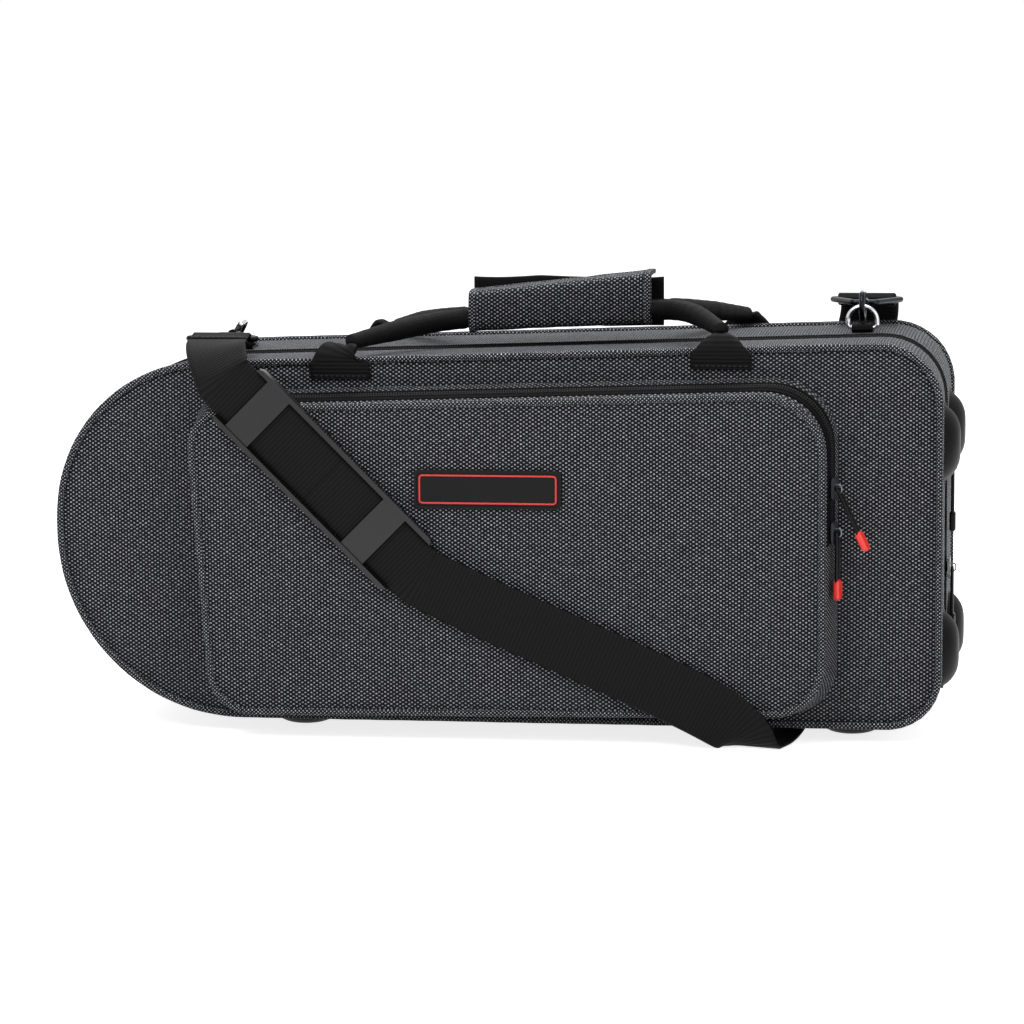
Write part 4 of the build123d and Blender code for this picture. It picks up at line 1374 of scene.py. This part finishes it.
# ------------------------------------------------------------------------------------ inside
@dataclass
class Inside:
    """Plush-covered pads, foam insert and the lid of its accessory bin."""

    case: Case

    def flat_pad(
        self, name: str, node: str, body: str, y_back: float, y_front: float, inset: float
    ) -> None:
        """Thin pad with rounded edges over a whole panel.

        Args:
            name: the piece's name.
            node: CAD node that it stands for.
            body: CAD body that it rides on.
            y_back: depth of the face against the shell.
            y_front: depth of its free face.
            inset: how far it stays inside the shell's outline.
        """
        loops = []
        steps = np.linspace(0.08, 1.0, 9)
        for y, order in ((y_back, steps), (y_front, steps[::-1])):
            edge = loop_at(CASE, y, inset)
            middle = edge.mean(0)
            loops += [middle + (edge - middle) * share for share in order]
        piece = SoftForm(name, loops, [8, 9], pressure=2.0, cap_mm=1.0).build()
        self.case.finish(piece, "plush", body, node)

    def build(self) -> None:
        """Builds what is inside the case."""
        self.flat_pad("lid_plush_pad", "lid_liner", "lid", FRONT_Y + 8.3, FRONT_Y + 13.4, 16.5)
        self.flat_pad("base_plush_pad", "base_liner", "base", BACK_Y - 8.3, BACK_Y - 13.4, 8.8)
        for half in ("upper", "lower"):
            piece = soft_copy(f"foam_block_{half}", self.case.nodes, f"foam_insert_{half}", 5.0, 1.0, 0.5)
            self.case.finish(piece, "plush", "base", f"foam_insert_{half}")
        door = soft_copy("bin_door_cloth", self.case.nodes, "accessory_bin_lid", 1.5, 0.0, 0.0)
        self.case.finish(door, "plush", "bin_lid", "accessory_bin_lid")


# ------------------------------------------------------------------------------------ handles
@dataclass
class Handles:
    """Two rolled webbing handles with their tabs, and the wrap that joins them."""

    case: Case
    left_pivot: Tuple[float, float] = (-90.0, 248.0)
    right_pivot: Tuple[float, float] = (143.0, 257.0)
    grip_left: Tuple[float, float] = (-35.0, 257.6)
    grip_right: Tuple[float, float] = (102.0, 264.4)
    radius: float = 6.0
    sewn_share: float = 0.13  # share of a handle over which it narrows to its sewn end
    wrapped: Tuple[float, float] = (0.31, 0.72)  # shares of a handle between which the grip holds it
    bare_swell: float = 1.08
    tab_width: float = 38.0
    neck_start: float = 0.42  # share of a tab at which it starts to gather
    neck_width: float = 13.0
    neck_thickness: float = 8.0
    pleat_depth: float = 0.9
    wrap_left_x: float = -25.0
    wrap_right_x: float = 92.0
    wrap_half: float = 8.0  # from the grip's middle to each handle
    wrap_height: float = 26.0
    wrap_rise: float = 7.0  # how much taller its right end is
    wrap_bend: float = 3.6
    wrap_slack: float = 0.3
    flap_height: float = 32.0
    wrap_columns: int = 44
    wrap_rows: int = 40
    wall: float = 2.4

    def tube_z(self, x: float) -> float:
        """Height of the tubes' centre line over the grip."""
        (x0, z0), (x1, z1) = self.grip_left, self.grip_right
        return z0 + (x - x0) * (z1 - z0) / (x1 - x0)

    def loop(
        self, name: str, node: str, body: str, pivot_y: float, grip_y: float, droop: float, bow: float
    ) -> None:
        """One rolled webbing handle.

        Args:
            name: the piece's name.
            node: CAD node that it stands for.
            body: CAD body that it rides on.
            pivot_y: depth of its ends.
            grip_y: depth of its middle, under the grip.
            droop: how far its ends are lowered.
            bow: how far it lifts between the grip and its right end.
        """
        (lx, lz), (rx, rz) = self.left_pivot, self.right_pivot
        lz, rz = lz - droop, rz - droop
        (gl, glz), (gr, grz) = self.grip_left, self.grip_right
        points = [
            (lx, pivot_y, lz),
            ((lx + gl) / 2, (pivot_y + grip_y) / 2, (lz + glz) / 2 + 1.0),
            (gl, grip_y, glz),
            ((gl + gr) / 2, grip_y, (glz + grz) / 2),
            (gr, grip_y, grz),
            ((gr + rx) / 2, (pivot_y + grip_y) / 2, (grz + rz) / 2 + bow),
            (rx, pivot_y, rz),
        ]
        grip_start, grip_end = self.wrapped

        def swell(share: float) -> float:
            """Radius: narrow where the roll is sewn shut at its ends, full where the grip leaves it bare."""
            edge = min(1.0, min(share, 1 - share) / self.sewn_share)
            bare = 1.0 if grip_start < share < grip_end else self.bare_swell
            return self.radius * bare * (0.72 + 0.28 * edge) * (1 + 0.012 * math.sin(share * 190))

        piece = tube(name, np.array(points), swell, 150, 18)
        self.case.finish(piece, "roll", body, node)

    def tab(
        self,
        name: str,
        tab_x: float,
        pivot: Tuple[float, float],
        face_y: float,
        pivot_y: float,
        toward: int,
    ) -> bpy.types.Object:
        """Webbing tab, sewn flat at its foot and gathered to a neck under the handle.

        Args:
            name: the piece's name.
            tab_x: place of its foot along the case.
            pivot: X and height of the handle's end.
            face_y: depth of the panel it is sewn to.
            pivot_y: depth of the handle's end.
            toward: direction out of the panel, along Y.

        Returns:
            The new object.
        """
        edge_z = top_z(tab_x)
        proud = face_y + toward * (PIPING_RADIUS + 0.6 + self.wall / 2)
        px, pz = pivot
        line = np.array(
            [
                (tab_x, face_y + toward * (self.wall / 2 + 0.3), edge_z - 11.5),
                (tab_x, face_y + toward * (self.wall / 2 + 1.6), edge_z - 7.0),
                (tab_x, proud, edge_z - 2.0),
                (tab_x, proud, edge_z + 4.0),
                ((tab_x + px) / 2, (proud + pivot_y) / 2, (edge_z + pz) / 2 + 2),
                (px, pivot_y, pz - self.radius - 0.2),
            ]
        )
        path = spline(line, 40)
        along = heading(path)
        across = same((1, 0, 0), len(path))
        normal = unit_rows(np.cross(along, across))
        across = unit_rows(np.cross(normal, along))

        def section(share: float) -> Array:
            """Profile: wide and thin at the foot, narrow, thick and pleated at the neck."""
            ease = max(0.0, (share - self.neck_start) / (1 - self.neck_start)) ** 0.9
            half = (self.tab_width * (1 - ease) + self.neck_width * ease) / 2
            thin = (self.wall * (1 - ease) + self.neck_thickness * ease) / 2
            xs = np.linspace(-half, half, 15)
            pleat = self.pleat_depth * ease * np.cos(xs / half * math.pi * 2.5)
            edge = np.sqrt(np.clip(1 - (xs / half) ** 2, 0, 1)) * ease + (1 - ease)
            upper = np.stack([xs, thin * edge + pleat], 1)
            lower = np.stack([xs[::-1], -thin * edge[::-1] + pleat[::-1] * 0.5], 1)
            return np.concatenate([upper, lower])

        return swept(name, path, across, normal, section)

    def tabs(self, side: str, body: str, face_y: float, pivot_y: float, toward: int) -> None:
        """Both tabs of one handle, with a row of stitches on each.

        Args:
            side: front or rear.
            body: CAD body that they ride on.
            face_y: depth of the panel they are sewn to.
            pivot_y: depth of the handle's ends.
            toward: direction out of the panel, along Y.
        """
        for end, tab_x, pivot in (("left", -96.0, self.left_pivot), ("right", 143.0, self.right_pivot)):
            piece = self.tab(f"{side}_tab_{end}", tab_x, pivot, face_y, pivot_y, toward)
            self.case.finish(piece, "webbing", body, *([f"{side}_handle_tabs"] if end == "left" else []))
            z = top_z(tab_x) - 9.5
            y = face_y + toward * (self.wall + 0.75)
            half = self.tab_width / 2 - 2.2
            line = [(tab_x - half, y, z), (tab_x + half, y, z)]
            row = stitch_row(f"{side}_tab_stitches_{end}", line, (0.0, float(toward), 0.0))
            self.case.finish(row, "stitch", body)

    def wrap_lines(self) -> Tuple[List[Array], List[Array], Array]:
        """Lines round the grip's cloth, from its left end to its right.

        Returns:
            The outer lines, the inner lines and the middle of the right end.
        """
        front, rear = PARTING_Y - self.wrap_half, PARTING_Y + self.wrap_half
        y_front = front - self.radius - self.wrap_slack - self.wall
        y_rear = rear + self.radius - self.wrap_slack
        bend = self.wrap_bend
        outer, inner = [], []
        middle = np.zeros(3)
        for i in range(self.wrap_columns):
            share = i / (self.wrap_columns - 1)
            x = self.wrap_left_x + (self.wrap_right_x - self.wrap_left_x) * share
            tall = self.wrap_height + self.wrap_rise * share
            low = self.tube_z(x) - self.radius - self.wrap_slack - self.wall
            pull_in = 0.5 * (1 - math.cos(2 * math.pi * share * 3)) * 0.35
            section = [
                (front, low),
                (y_front + bend, low),
                (y_front, low + bend),
                (y_front, low + tall - bend),
                (y_front + bend, low + tall),
                (y_rear, low + tall),
            ]
            line = spline(np.array([(x, y, z) for y, z in section]), self.wrap_rows)
            tangent = heading(line)
            into = unit_rows(np.cross(tangent, np.array([1.0, 0.0, 0.0])))
            middle = np.array([x, (front + rear) / 2, low + tall / 2])
            into = facing(into, middle - line)
            puffed = np.sin(np.linspace(0, math.pi, self.wrap_rows))[:, None] * 0.5 * (1 - pull_in)
            outer.append(line - into * (puffed - 0.2) + into * wrinkle(line, 34.0, 0.3, 5)[:, None])
            inner.append(line + into * self.wall)
        return outer, inner, middle

    def wrap(self) -> None:
        """Padded cloth grip round the front tube and over the back one."""
        outer, inner, middle = self.wrap_lines()
        columns, rows = self.wrap_columns, self.wrap_rows
        rings = [np.concatenate([out, back[::-1]]) for out, back in zip(outer, inner)]
        around = len(rings[0])
        faces: List[Tuple[int, ...]] = list(grid_faces(columns, around))
        for base in (0, (columns - 1) * around):
            for k in range(rows - 1):
                faces.append((base + k, base + k + 1, base + around - 2 - k, base + around - 1 - k))
        piece = tidy_normals(new_mesh("grip_wrap_cloth", np.concatenate(rings), faces))
        bevel = piece.modifiers.new("hem", "BEVEL")
        bevel.width = 0.7 * MM
        bevel.segments = 3
        bevel.angle_limit = math.radians(50)
        self.case.finish(piece, "shell", "front_carry_handle", "grip_wrap")
        self.wrap_hems(outer, middle)
        self.wrap_stitches(outer)

    def wrap_hems(self, outer: List[Array], middle: Array) -> None:
        """Hems along both ends and the top edge of the grip.

        Args:
            outer: lines round the grip's cloth.
            middle: a place inside the grip.
        """
        columns = self.wrap_columns
        for side, i, inward in (("left", 0, 2.0), ("right", columns - 1, -2.0)):
            line = outer[i][2:-2] + np.array([inward, 0, 0])
            self.case.finish(self.hem(f"grip_hem_{side}", line, middle), "binding", "front_carry_handle")
        band = np.array([row[-1] for row in outer]) - np.array([0, 1.9, 0])
        back = same((0, 1, 0), columns)
        up = same((0, 0, 1), columns)
        hem = swept("grip_hem_top", band, back, up, flat_profile(lambda share: 4.2, 0.9, 6))
        self.case.finish(hem, "binding", "front_carry_handle")

    def wrap_stitches(self, outer: List[Array]) -> None:
        """Row of stitches beside each end of the grip.

        Args:
            outer: lines round the grip's cloth.
        """
        for side, i, inward in (("left", 1, 2.2), ("right", self.wrap_columns - 2, -2.2)):
            line = outer[i][4:-3] + np.array([inward, 0, 0])
            at, along = row_places(line, STITCH_PITCH)
            out = unit_rows(np.cross(along, np.array([1.0, 0.0, 0.0])))
            inside = np.array([at[0][0], PARTING_Y, line[:, 2].mean()])
            out = facing(out, at - inside)
            row = beads(f"grip_stitches_{side}", at + out * 0.15, along, out, 2.5, STITCH_RADIUS)
            self.case.finish(row, "stitch", "front_carry_handle")

    def hem(self, name: str, line: Array, middle: Array) -> bpy.types.Object:
        """Folded strip along one end of the grip.

        Args:
            name: the piece's name.
            line: where it runs, round the grip.
            middle: a place inside the grip.

        Returns:
            The new object.
        """
        along = heading(line)
        across = same((1, 0, 0), len(line))
        out = unit_rows(np.cross(along, across))
        out = facing(out, line - np.array([line[0][0], middle[1], middle[2]]))
        return swept(name, line + out * 0.3, across, out, flat_profile(lambda share: 4.4, 0.9, 6))

    def flap(self) -> None:
        """Hook and loop flap that stands behind the grip."""
        y = PARTING_Y + self.wrap_half + self.radius + 0.05 + self.wall / 2
        xs = np.linspace(self.wrap_left_x - 1, self.wrap_right_x + 5, 40)
        line = np.stack([xs, y + 0.3 * np.sin(xs / 17), 267.6 + 0.5 * np.sin(xs / 15)], 1)
        up = same((0, 0, 1), 40)
        out = same((0, 1, 0), 40)
        tall = flat_profile(
            lambda share: self.flap_height - 1.2 * abs(math.sin(share * 9)), self.wall - 0.4
        )
        piece = swept("grip_flap_cloth", line, up, out, tall)
        self.case.finish(piece, "loop_cloth", "rear_carry_handle", "grip_flap")

    def build(self) -> None:
        """Builds handles, tabs and grip."""
        self.loop(
            "front_handle_roll",
            "front_handle",
            "front_carry_handle",
            FRONT_Y + 2.0,
            PARTING_Y - self.wrap_half,
            0.0,
            4.0,
        )
        self.loop(
            "rear_handle_roll",
            "rear_handle",
            "rear_carry_handle",
            BACK_Y - 2.0,
            PARTING_Y + self.wrap_half,
            3.5,
            0.0,
        )
        self.tabs("front", "lid", FRONT_Y, FRONT_Y + 2.0, -1)
        self.tabs("rear", "base", BACK_Y, BACK_Y - 2.0, 1)
        self.wrap()
        self.flap()


# ------------------------------------------------------------------------------------ strap
Station = Tuple[Tuple[float, float, float], Tuple[float, float, float]]


def dir_xz(angle: float) -> Tuple[float, float, float]:
    """Direction in the plane seen from the front."""
    return (math.cos(math.radians(angle)), 0.0, math.sin(math.radians(angle)))


@dataclass
class Strap:
    """Shoulder strap in its runs, with its pad, adjuster and sewn ends."""

    case: Case
    width: float = 38.0
    thickness: float = 2.0
    front_y: float = -125.85
    pad_centre: Tuple[float, float] = (-101.7, 165.5)
    pad_angle: float = -45.0
    straight: float = 85.0
    left_x: float = HOOK_X["left"]
    right_x: float = HOOK_X["right"]
    left_z: float = 246.5
    right_z: float = 265.6
    left_bar_y: float = -53.5
    right_bar_y: float = 62.9
    sewn: float = 13.0
    floor_gap: float = 0.2
    bar_radius: float = 1.9
    bar_gap: float = 0.3
    sewn_lift: float = 1.02  # half the distance between the two layers where they are sewn

    def along_pad(self, distance: float) -> Tuple[float, float, float]:
        """Place on the strap's line from the pad's middle."""
        d = dir_xz(self.pad_angle)
        return (self.pad_centre[0] + d[0] * distance, self.front_y, self.pad_centre[1] + d[2] * distance)

    def run(self, name: str, stations: Sequence[Station], samples: int) -> bpy.types.Object:
        """One run of webbing, kept above the floor.

        Args:
            name: the piece's name.
            stations: place and direction across the webbing at each of its bends.
            samples: rings along it.

        Returns:
            The new object.
        """
        both = spline(np.array([(*place, *across) for place, across in stations], float), samples)
        centres, across = both[:, :3], unit_rows(both[:, 3:])
        along = heading(centres)
        across = square_to(across, along)
        normal = np.cross(across, along)
        piece = swept(
            name, centres, across, normal, flat_profile(lambda share: self.width, self.thickness - 0.2, 14)
        )
        lowest = self.floor_gap * MM
        for vertex in piece.data.vertices:
            vertex.co.z = max(vertex.co.z, lowest)
        return piece

    def ends(self) -> None:
        """Strap folded round each hook's eye and sewn to itself."""
        for side, x, bar_y, bar_z, toward in (
            ("left", self.left_x, self.left_bar_y, self.left_z, -1),
            ("right", self.right_x, self.right_bar_y, self.right_z, 1),
        ):
            reach = self.bar_radius + self.bar_gap + self.thickness / 2
            turn = np.linspace(math.pi / 2, 3 * math.pi / 2, 16)
            bend = np.stack(
                [np.full(16, x), bar_y + toward * np.cos(turn) * reach, bar_z + np.sin(turn) * reach], 1
            )
            steps = (2.0, 6.0, 10.0, self.sewn)
            tail = [(bar_y + toward * k, (reach - self.sewn_lift) * min(1.0, k / 9)) for k in steps]
            tail_low = np.array([(x, y, bar_z - reach + closing) for y, closing in tail])
            tail_top = np.array([(x, y, bar_z + reach - closing) for y, closing in reversed(tail)])
            line = np.concatenate([tail_top, bend, tail_low])
            along = heading(line)
            across = same((1, 0, 0), len(line))
            normal = unit_rows(np.cross(across, along))
            layer = flat_profile(lambda share: self.width - 0.4, self.thickness - 0.2, 14)
            piece = swept(f"strap_fold_{side}", line, across, normal, layer)
            self.case.finish(piece, "webbing", "base", f"strap_end_{side}")
            for k, back in enumerate((8.5, 11.5)):
                y = bar_y + toward * back
                ends = [(x + half, y, bar_z + 2.15) for half in (-16, 16)]
                row = stitch_row(f"strap_stitches_{side}_{k}", ends, (0, 0, 1.0))
                self.case.finish(row, "stitch", "base")

    def runs(self) -> None:
        """The four runs of the strap round the case."""
        pad_across = dir_xz(self.pad_angle + 90)
        start_y = self.left_bar_y - self.sewn
        low = self.thickness / 2 + self.floor_gap
        fy = self.front_y
        upper: List[Station] = [
            ((self.left_x, start_y, self.left_z), (1, 0, 0)),
            ((self.left_x + 2.5, -84.0, self.left_z), (1, 0, 0.05)),
            ((self.left_x + 7.5, -106.0, 243.5), (0.96, 0, 0.26)),
            ((self.left_x + 14, -122.0, 233.5), (0.88, 0, 0.48)),
            (self.along_pad(-self.straight - 4), pad_across),
            (self.along_pad(4 - self.straight), pad_across),
            (self.along_pad(-self.straight * 0.6), pad_across),
            (self.along_pad(0), pad_across),
        ]
        piece = self.run("strap_upper_run", upper, 90)
        self.case.finish(piece, "webbing", "", "strap_front_upper")
        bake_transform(piece)
        lower: List[Station] = [
            (self.along_pad(0), pad_across),
            (self.along_pad(self.straight * 0.6), pad_across),
            (self.along_pad(self.straight - 4), pad_across),
            (self.along_pad(self.straight + 1), pad_across),
            ((-26.0, fy, 98.0), (0.55, 0, 0.835)),
            ((0.0, fy - 0.6, 86.0), (0.42, 0, 0.907)),
            ((44.0, fy - 0.8, 67.5), (0.41, 0, 0.912)),
            ((88.0, fy - 0.6, 48.5), (0.41, 0, 0.912)),
            ((136.0, fy - 0.8, 27.0), (0.5, 0.05, 0.86)),
            ((158.0, fy + 0.5, 12.5), (0.8, -0.22, 0.56)),
            ((164.3, -117.6, low + 0.4), (0.93, -0.36, 0)),
            ((166.0, -111.0, low + 0.3), (0.93, -0.36, 0)),
        ]
        piece = self.run("strap_lower_run", lower, 150)
        self.case.finish(piece, "webbing", "lid", "strap_front_lower")
        under: List[Station] = [
            ((166.0, -111.0, low + 0.3), (0.93, -0.36, 0)),
            ((171.0, -92.0, low), (0.98, -0.2, 0)),
            ((174.0, -50.0, low), (1, 0, 0)),
            ((176.0, 42.0, low), (1, 0, 0)),
            ((180.0, 100.0, low), (1, 0, 0)),
        ]
        piece = self.run("strap_floor_run", under, 70)
        self.case.finish(piece, "webbing", "", "strap_under")
        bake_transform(piece)
        slack, run_y = 107.25, 100.25  # the webbing hangs away from the case low down
        back: List[Station] = [
            ((180.0, 100.0, low), (1, 0, 0)),
            ((180.3, 104.5, low), (1, 0, 0)),
            ((182.0, slack, 7.0), (1, 0, 0)),
            ((185.0, slack, 32.0), (1, 0, 0)),
            ((195.0, run_y, 104.0), (1, 0, 0)),
            ((200.0, run_y, 132.0), (1, 0, 0)),
            ((220.0, run_y, 236.0), (1, 0, 0)),
            ((self.right_x, run_y - 1.0, 254.0), (1, 0, 0)),
            ((self.right_x, run_y - 7.0, self.right_z - 1), (1, 0, 0)),
            ((self.right_x, self.right_bar_y + self.sewn + 0.3, self.right_z), (1, 0, 0)),
        ]
        piece = self.run("strap_back_run", back, 130)
        self.case.finish(piece, "webbing", "base", "strap_back")

    def build(self) -> None:
        """Builds the strap."""
        self.runs()
        self.ends()
        self.case.keep("shoulder_pad", "pad", 0.9)
        self.case.keep("strap_adjuster", "acetal", 0.6)


# ------------------------------------------------------------------------------------ metalwork
@dataclass
class Metalwork:
    """D-rings and their tabs, snap hooks, sliders and pulls."""

    case: Case
    bar_y: float = 10.0
    bar_lift: float = 3.95
    tab_reach: float = 2.4
    tab_width: float = 13.6
    tab_thickness: float = 1.3
    cord_swell: float = 0.4
    cord_drawn_in: float = 0.55  # share of the loop's width lost between the bail and the tip
    cord_shoulder: float = 0.28  # share of its half length over which that happens

    def ring_tab(self, side: str, x: float) -> bpy.types.Object:
        """Narrow webbing folded round a ring's bar and sewn down behind it.

        Args:
            side: left or right.
            x: place of the ring along the case.

        Returns:
            The new object.
        """
        bar_y, bar_z, reach = self.bar_y, top_z(x) + self.bar_lift, self.tab_reach
        tail = top_z(x) + 7 * TOP_SLOPE + 0.8
        turn = np.linspace(-math.pi / 2, -3 * math.pi / 2, 14)
        bend = [(x, bar_y + math.cos(a) * reach, bar_z + math.sin(a) * reach) for a in turn]
        steps = (3.0, 8.0, 15.0, 21.5)
        low = [(x, bar_y + k, max(tail, bar_z - reach - k * 0.1)) for k in reversed(steps)]
        high = [
            (x, bar_y + k, bar_z + reach + (tail + 1.6 - bar_z - reach) * min(1.0, k / 15)) for k in steps
        ]
        line = np.array(low + bend + high)
        along = heading(line)
        across = same((1, 0, TOP_SLOPE), len(line))
        normal = unit_rows(np.cross(across, along))
        webbing = flat_profile(lambda share: self.tab_width, self.tab_thickness, 8)
        return swept(f"ring_tab_{side}", line, across, normal, webbing)

    def pull(self, place: str) -> None:
        """Cord loop of a pull, its two strands drawn together between the bail and the tip.

        Args:
            place: which slider the pull hangs from.
        """
        loop = self.case.nodes[f"{place}_pull"]
        piece = placed(f"{place}_pull_cord", loop.data.copy())
        piece.matrix_world = loop.matrix_world
        points = np.zeros(len(piece.data.vertices) * 3)
        piece.data.vertices.foreach_get("co", points)
        points = points.reshape(-1, 3)
        middle = (points.max(0) + points.min(0)) / 2
        _, _, axes = np.linalg.svd(points - points.mean(0), full_matrices=False)
        along, across = (points - middle) @ axes[0], (points - middle) @ axes[1]
        end = np.abs(along).max()
        share = np.clip((end - np.abs(along)) / (self.cord_shoulder * end), 0, 1)
        drawn = 1 - self.cord_drawn_in * share * share * (3 - 2 * share)
        points += np.outer(across * (drawn - 1), axes[1])
        normals = np.array([vertex.normal for vertex in piece.data.vertices])
        points += normals * (share * self.cord_swell * MM)[:, None]
        piece.data.vertices.foreach_set("co", points.ravel())
        piece.data.update()
        self.case.finish(piece, "cord", f"{place}_zip_pull", f"{place}_pull")

    def build(self) -> None:
        """Dresses the rings, hooks, sliders and pulls."""
        plated = {"d_ring": "chrome", "hook_claw": "slider", "hook_gate": "chrome", "hook_eye": "slider"}
        for side, x in HOOK_X.items():
            tab = self.ring_tab(side, x)
            self.case.finish(tab, "webbing", "base", *(["d_ring_tabs"] if side == "left" else []))
            for node, key in plated.items():
                self.case.keep(f"{node}_{side}", key)
        for place in ("main_upper", "main_lower", "pocket_upper", "pocket_lower"):
            self.case.keep(f"{place}_slider", "gunmetal", 0.3)
            self.pull(place)
            self.case.keep(f"{place}_pull_tip", "red" if place.startswith("pocket") else "cord")


# ------------------------------------------------------------------------------------ studio
Lamp = Tuple[str, Tuple[float, float, float], float, float]


@dataclass
class Studio:
    """Camera, lamps, floor and backdrop; each lamp has a name, a place, a size and a power in watts."""

    azimuth: float = 8.135
    elevation: float = 7.048
    distance: float = 2670.0
    roll: float = -0.298
    target: Tuple[float, float, float] = (-1.3, 0.0, 130.8)
    lens: float = 144.9
    lamps: Tuple[Lamp, ...] = (
        ("key", (-0.7, -1.7, 2.1), 1.4, 37.0),
        ("fill", (1.9, -1.4, 0.9), 1.4, 9.0),
        ("top", (0.2, 0.5, 2.4), 1.8, 60.0),
    )
    aim: Tuple[float, float, float] = (0.0, 0.0, 0.12)
    world_light: float = 0.42
    paper_grey: float = 0.85
    paper_glow: float = 0.8
    paper_half: float = 9.0

    def camera(self) -> None:
        """Camera at the viewing angle, square frame."""
        az, el, roll = (math.radians(a) for a in (self.azimuth, self.elevation, self.roll))
        away = Vector((math.sin(az) * math.cos(el), -math.cos(az) * math.cos(el), math.sin(el)))
        right = (-away).cross(Vector((0, 0, 1))).normalized()
        up = right.cross(-away)
        turned_right = math.cos(roll) * right + math.sin(roll) * up
        turned_up = -math.sin(roll) * right + math.cos(roll) * up
        place = Vector(to_frame(np.array(self.target))) + away * self.distance * MM
        data = bpy.data.cameras.new("camera")
        data.lens = self.lens
        data.sensor_width = 36.0
        data.sensor_fit = "HORIZONTAL"
        data.clip_end = 50.0
        camera = placed("camera", data)
        turn = Matrix((turned_right, turned_up, away)).transposed().to_4x4()
        camera.matrix_world = Matrix.Translation(place) @ turn
        bpy.context.scene.camera = camera

    def lamp(self, name: str, place: Sequence[float], size: float, power: float) -> None:
        """Square area lamp aimed at the case.

        Args:
            name: the lamp's name.
            place: where it stands.
            size: length of its side.
            power: its power in watts.
        """
        data = bpy.data.lights.new(name, "AREA")
        data.size = size
        data.energy = power
        lamp = placed(name, data)
        lamp.location = Vector(place)
        lamp.rotation_euler = (Vector(self.aim) - lamp.location).to_track_quat("-Z", "Y").to_euler()

    @staticmethod
    def split(
        tree: bpy.types.NodeTree, lighting: bpy.types.Node, seen: bpy.types.Node
    ) -> bpy.types.NodeSocket:
        """Shows one shader to the camera, straight or by a mirror or glass, and lights the case with another.

        Args:
            tree: node tree that holds both.
            lighting: shader that every other ray meets.
            seen: shader that the camera sees.

        Returns:
            Socket with the two combined.
        """
        path = tree.nodes.new("ShaderNodeLightPath")
        shown = path.outputs["Is Camera Ray"]
        for ray in ("Is Transmission Ray", "Is Glossy Ray"):
            either = tree.nodes.new("ShaderNodeMath")
            either.operation = "MAXIMUM"
            tree.links.new(shown, either.inputs[0])
            tree.links.new(path.outputs[ray], either.inputs[1])
            shown = either.outputs[0]
        mix = tree.nodes.new("ShaderNodeMixShader")
        for socket, source in zip(mix.inputs, (shown, lighting.outputs[0], seen.outputs[0])):
            tree.links.new(source, socket)
        return mix.outputs[0]

    def world(self) -> None:
        """Pale world that reads as plain white behind the case."""
        world = bpy.data.worlds.new("studio")
        bpy.context.scene.world = world
        world.use_nodes = True
        tree = world.node_tree
        tree.nodes.clear()
        out = tree.nodes.new("ShaderNodeOutputWorld")
        shaders = []
        for strength in (self.world_light, 1.0):
            shader = tree.nodes.new("ShaderNodeBackground")
            shader.inputs["Color"].default_value = (1, 1, 1, 1)
            shader.inputs["Strength"].default_value = strength
            shaders.append(shader)
        tree.links.new(self.split(tree, *shaders), out.inputs[0])

    def floor(self) -> None:
        """Paper floor that reads as white and keeps the case's shadow."""
        mesh = bpy.data.meshes.new("floor")
        reach = self.paper_half
        corners = [(-reach, -reach, 0), (reach, -reach, 0), (reach, reach, 0), (-reach, reach, 0)]
        mesh.from_pydata(corners, [], [(0, 1, 2, 3)])
        floor = placed("floor", mesh)
        material = bpy.data.materials.new("studio_paper")
        material.use_nodes = True
        tree = material.node_tree
        shader = tree.nodes["Principled BSDF"]
        shader.inputs["Base Color"].default_value = (self.paper_grey, self.paper_grey, self.paper_grey, 1)
        shader.inputs["Roughness"].default_value = 1.0
        shader.inputs["Specular IOR Level"].default_value = 0.0
        glow = tree.nodes.new("ShaderNodeEmission")
        glow.inputs["Strength"].default_value = self.paper_glow
        add = tree.nodes.new("ShaderNodeAddShader")
        tree.links.new(shader.outputs[0], add.inputs[0])
        tree.links.new(glow.outputs[0], add.inputs[1])
        tree.links.new(self.split(tree, shader, add), tree.nodes["Material Output"].inputs[0])
        mesh.materials.append(material)

    def build(self) -> None:
        """Sets up camera, lamps, world and colour view."""
        self.camera()
        for lamp in self.lamps:
            self.lamp(*lamp)
        self.world()
        self.floor()
        bpy.context.scene.view_settings.view_transform = "Standard"


def main() -> None:
    """Builds the case, sub-assembly by sub-assembly."""
    logging.basicConfig(level=logging.INFO, format="%(message)s", stream=sys.stdout)
    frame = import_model()
    Studio().build()
    case = Case(frame["nodes"], Finishes().build())
    ShellHalf(case, Half.LID, 84.0).build()
    ShellHalf(case, Half.BASE, 100.0, crown_mm=1.5).build()
    Pocket(case).build()
    Inside(case).build()
    Handles(case).build()
    Strap(case).build()
    Metalwork(case).build()


if __name__ == "__main__":
    main()
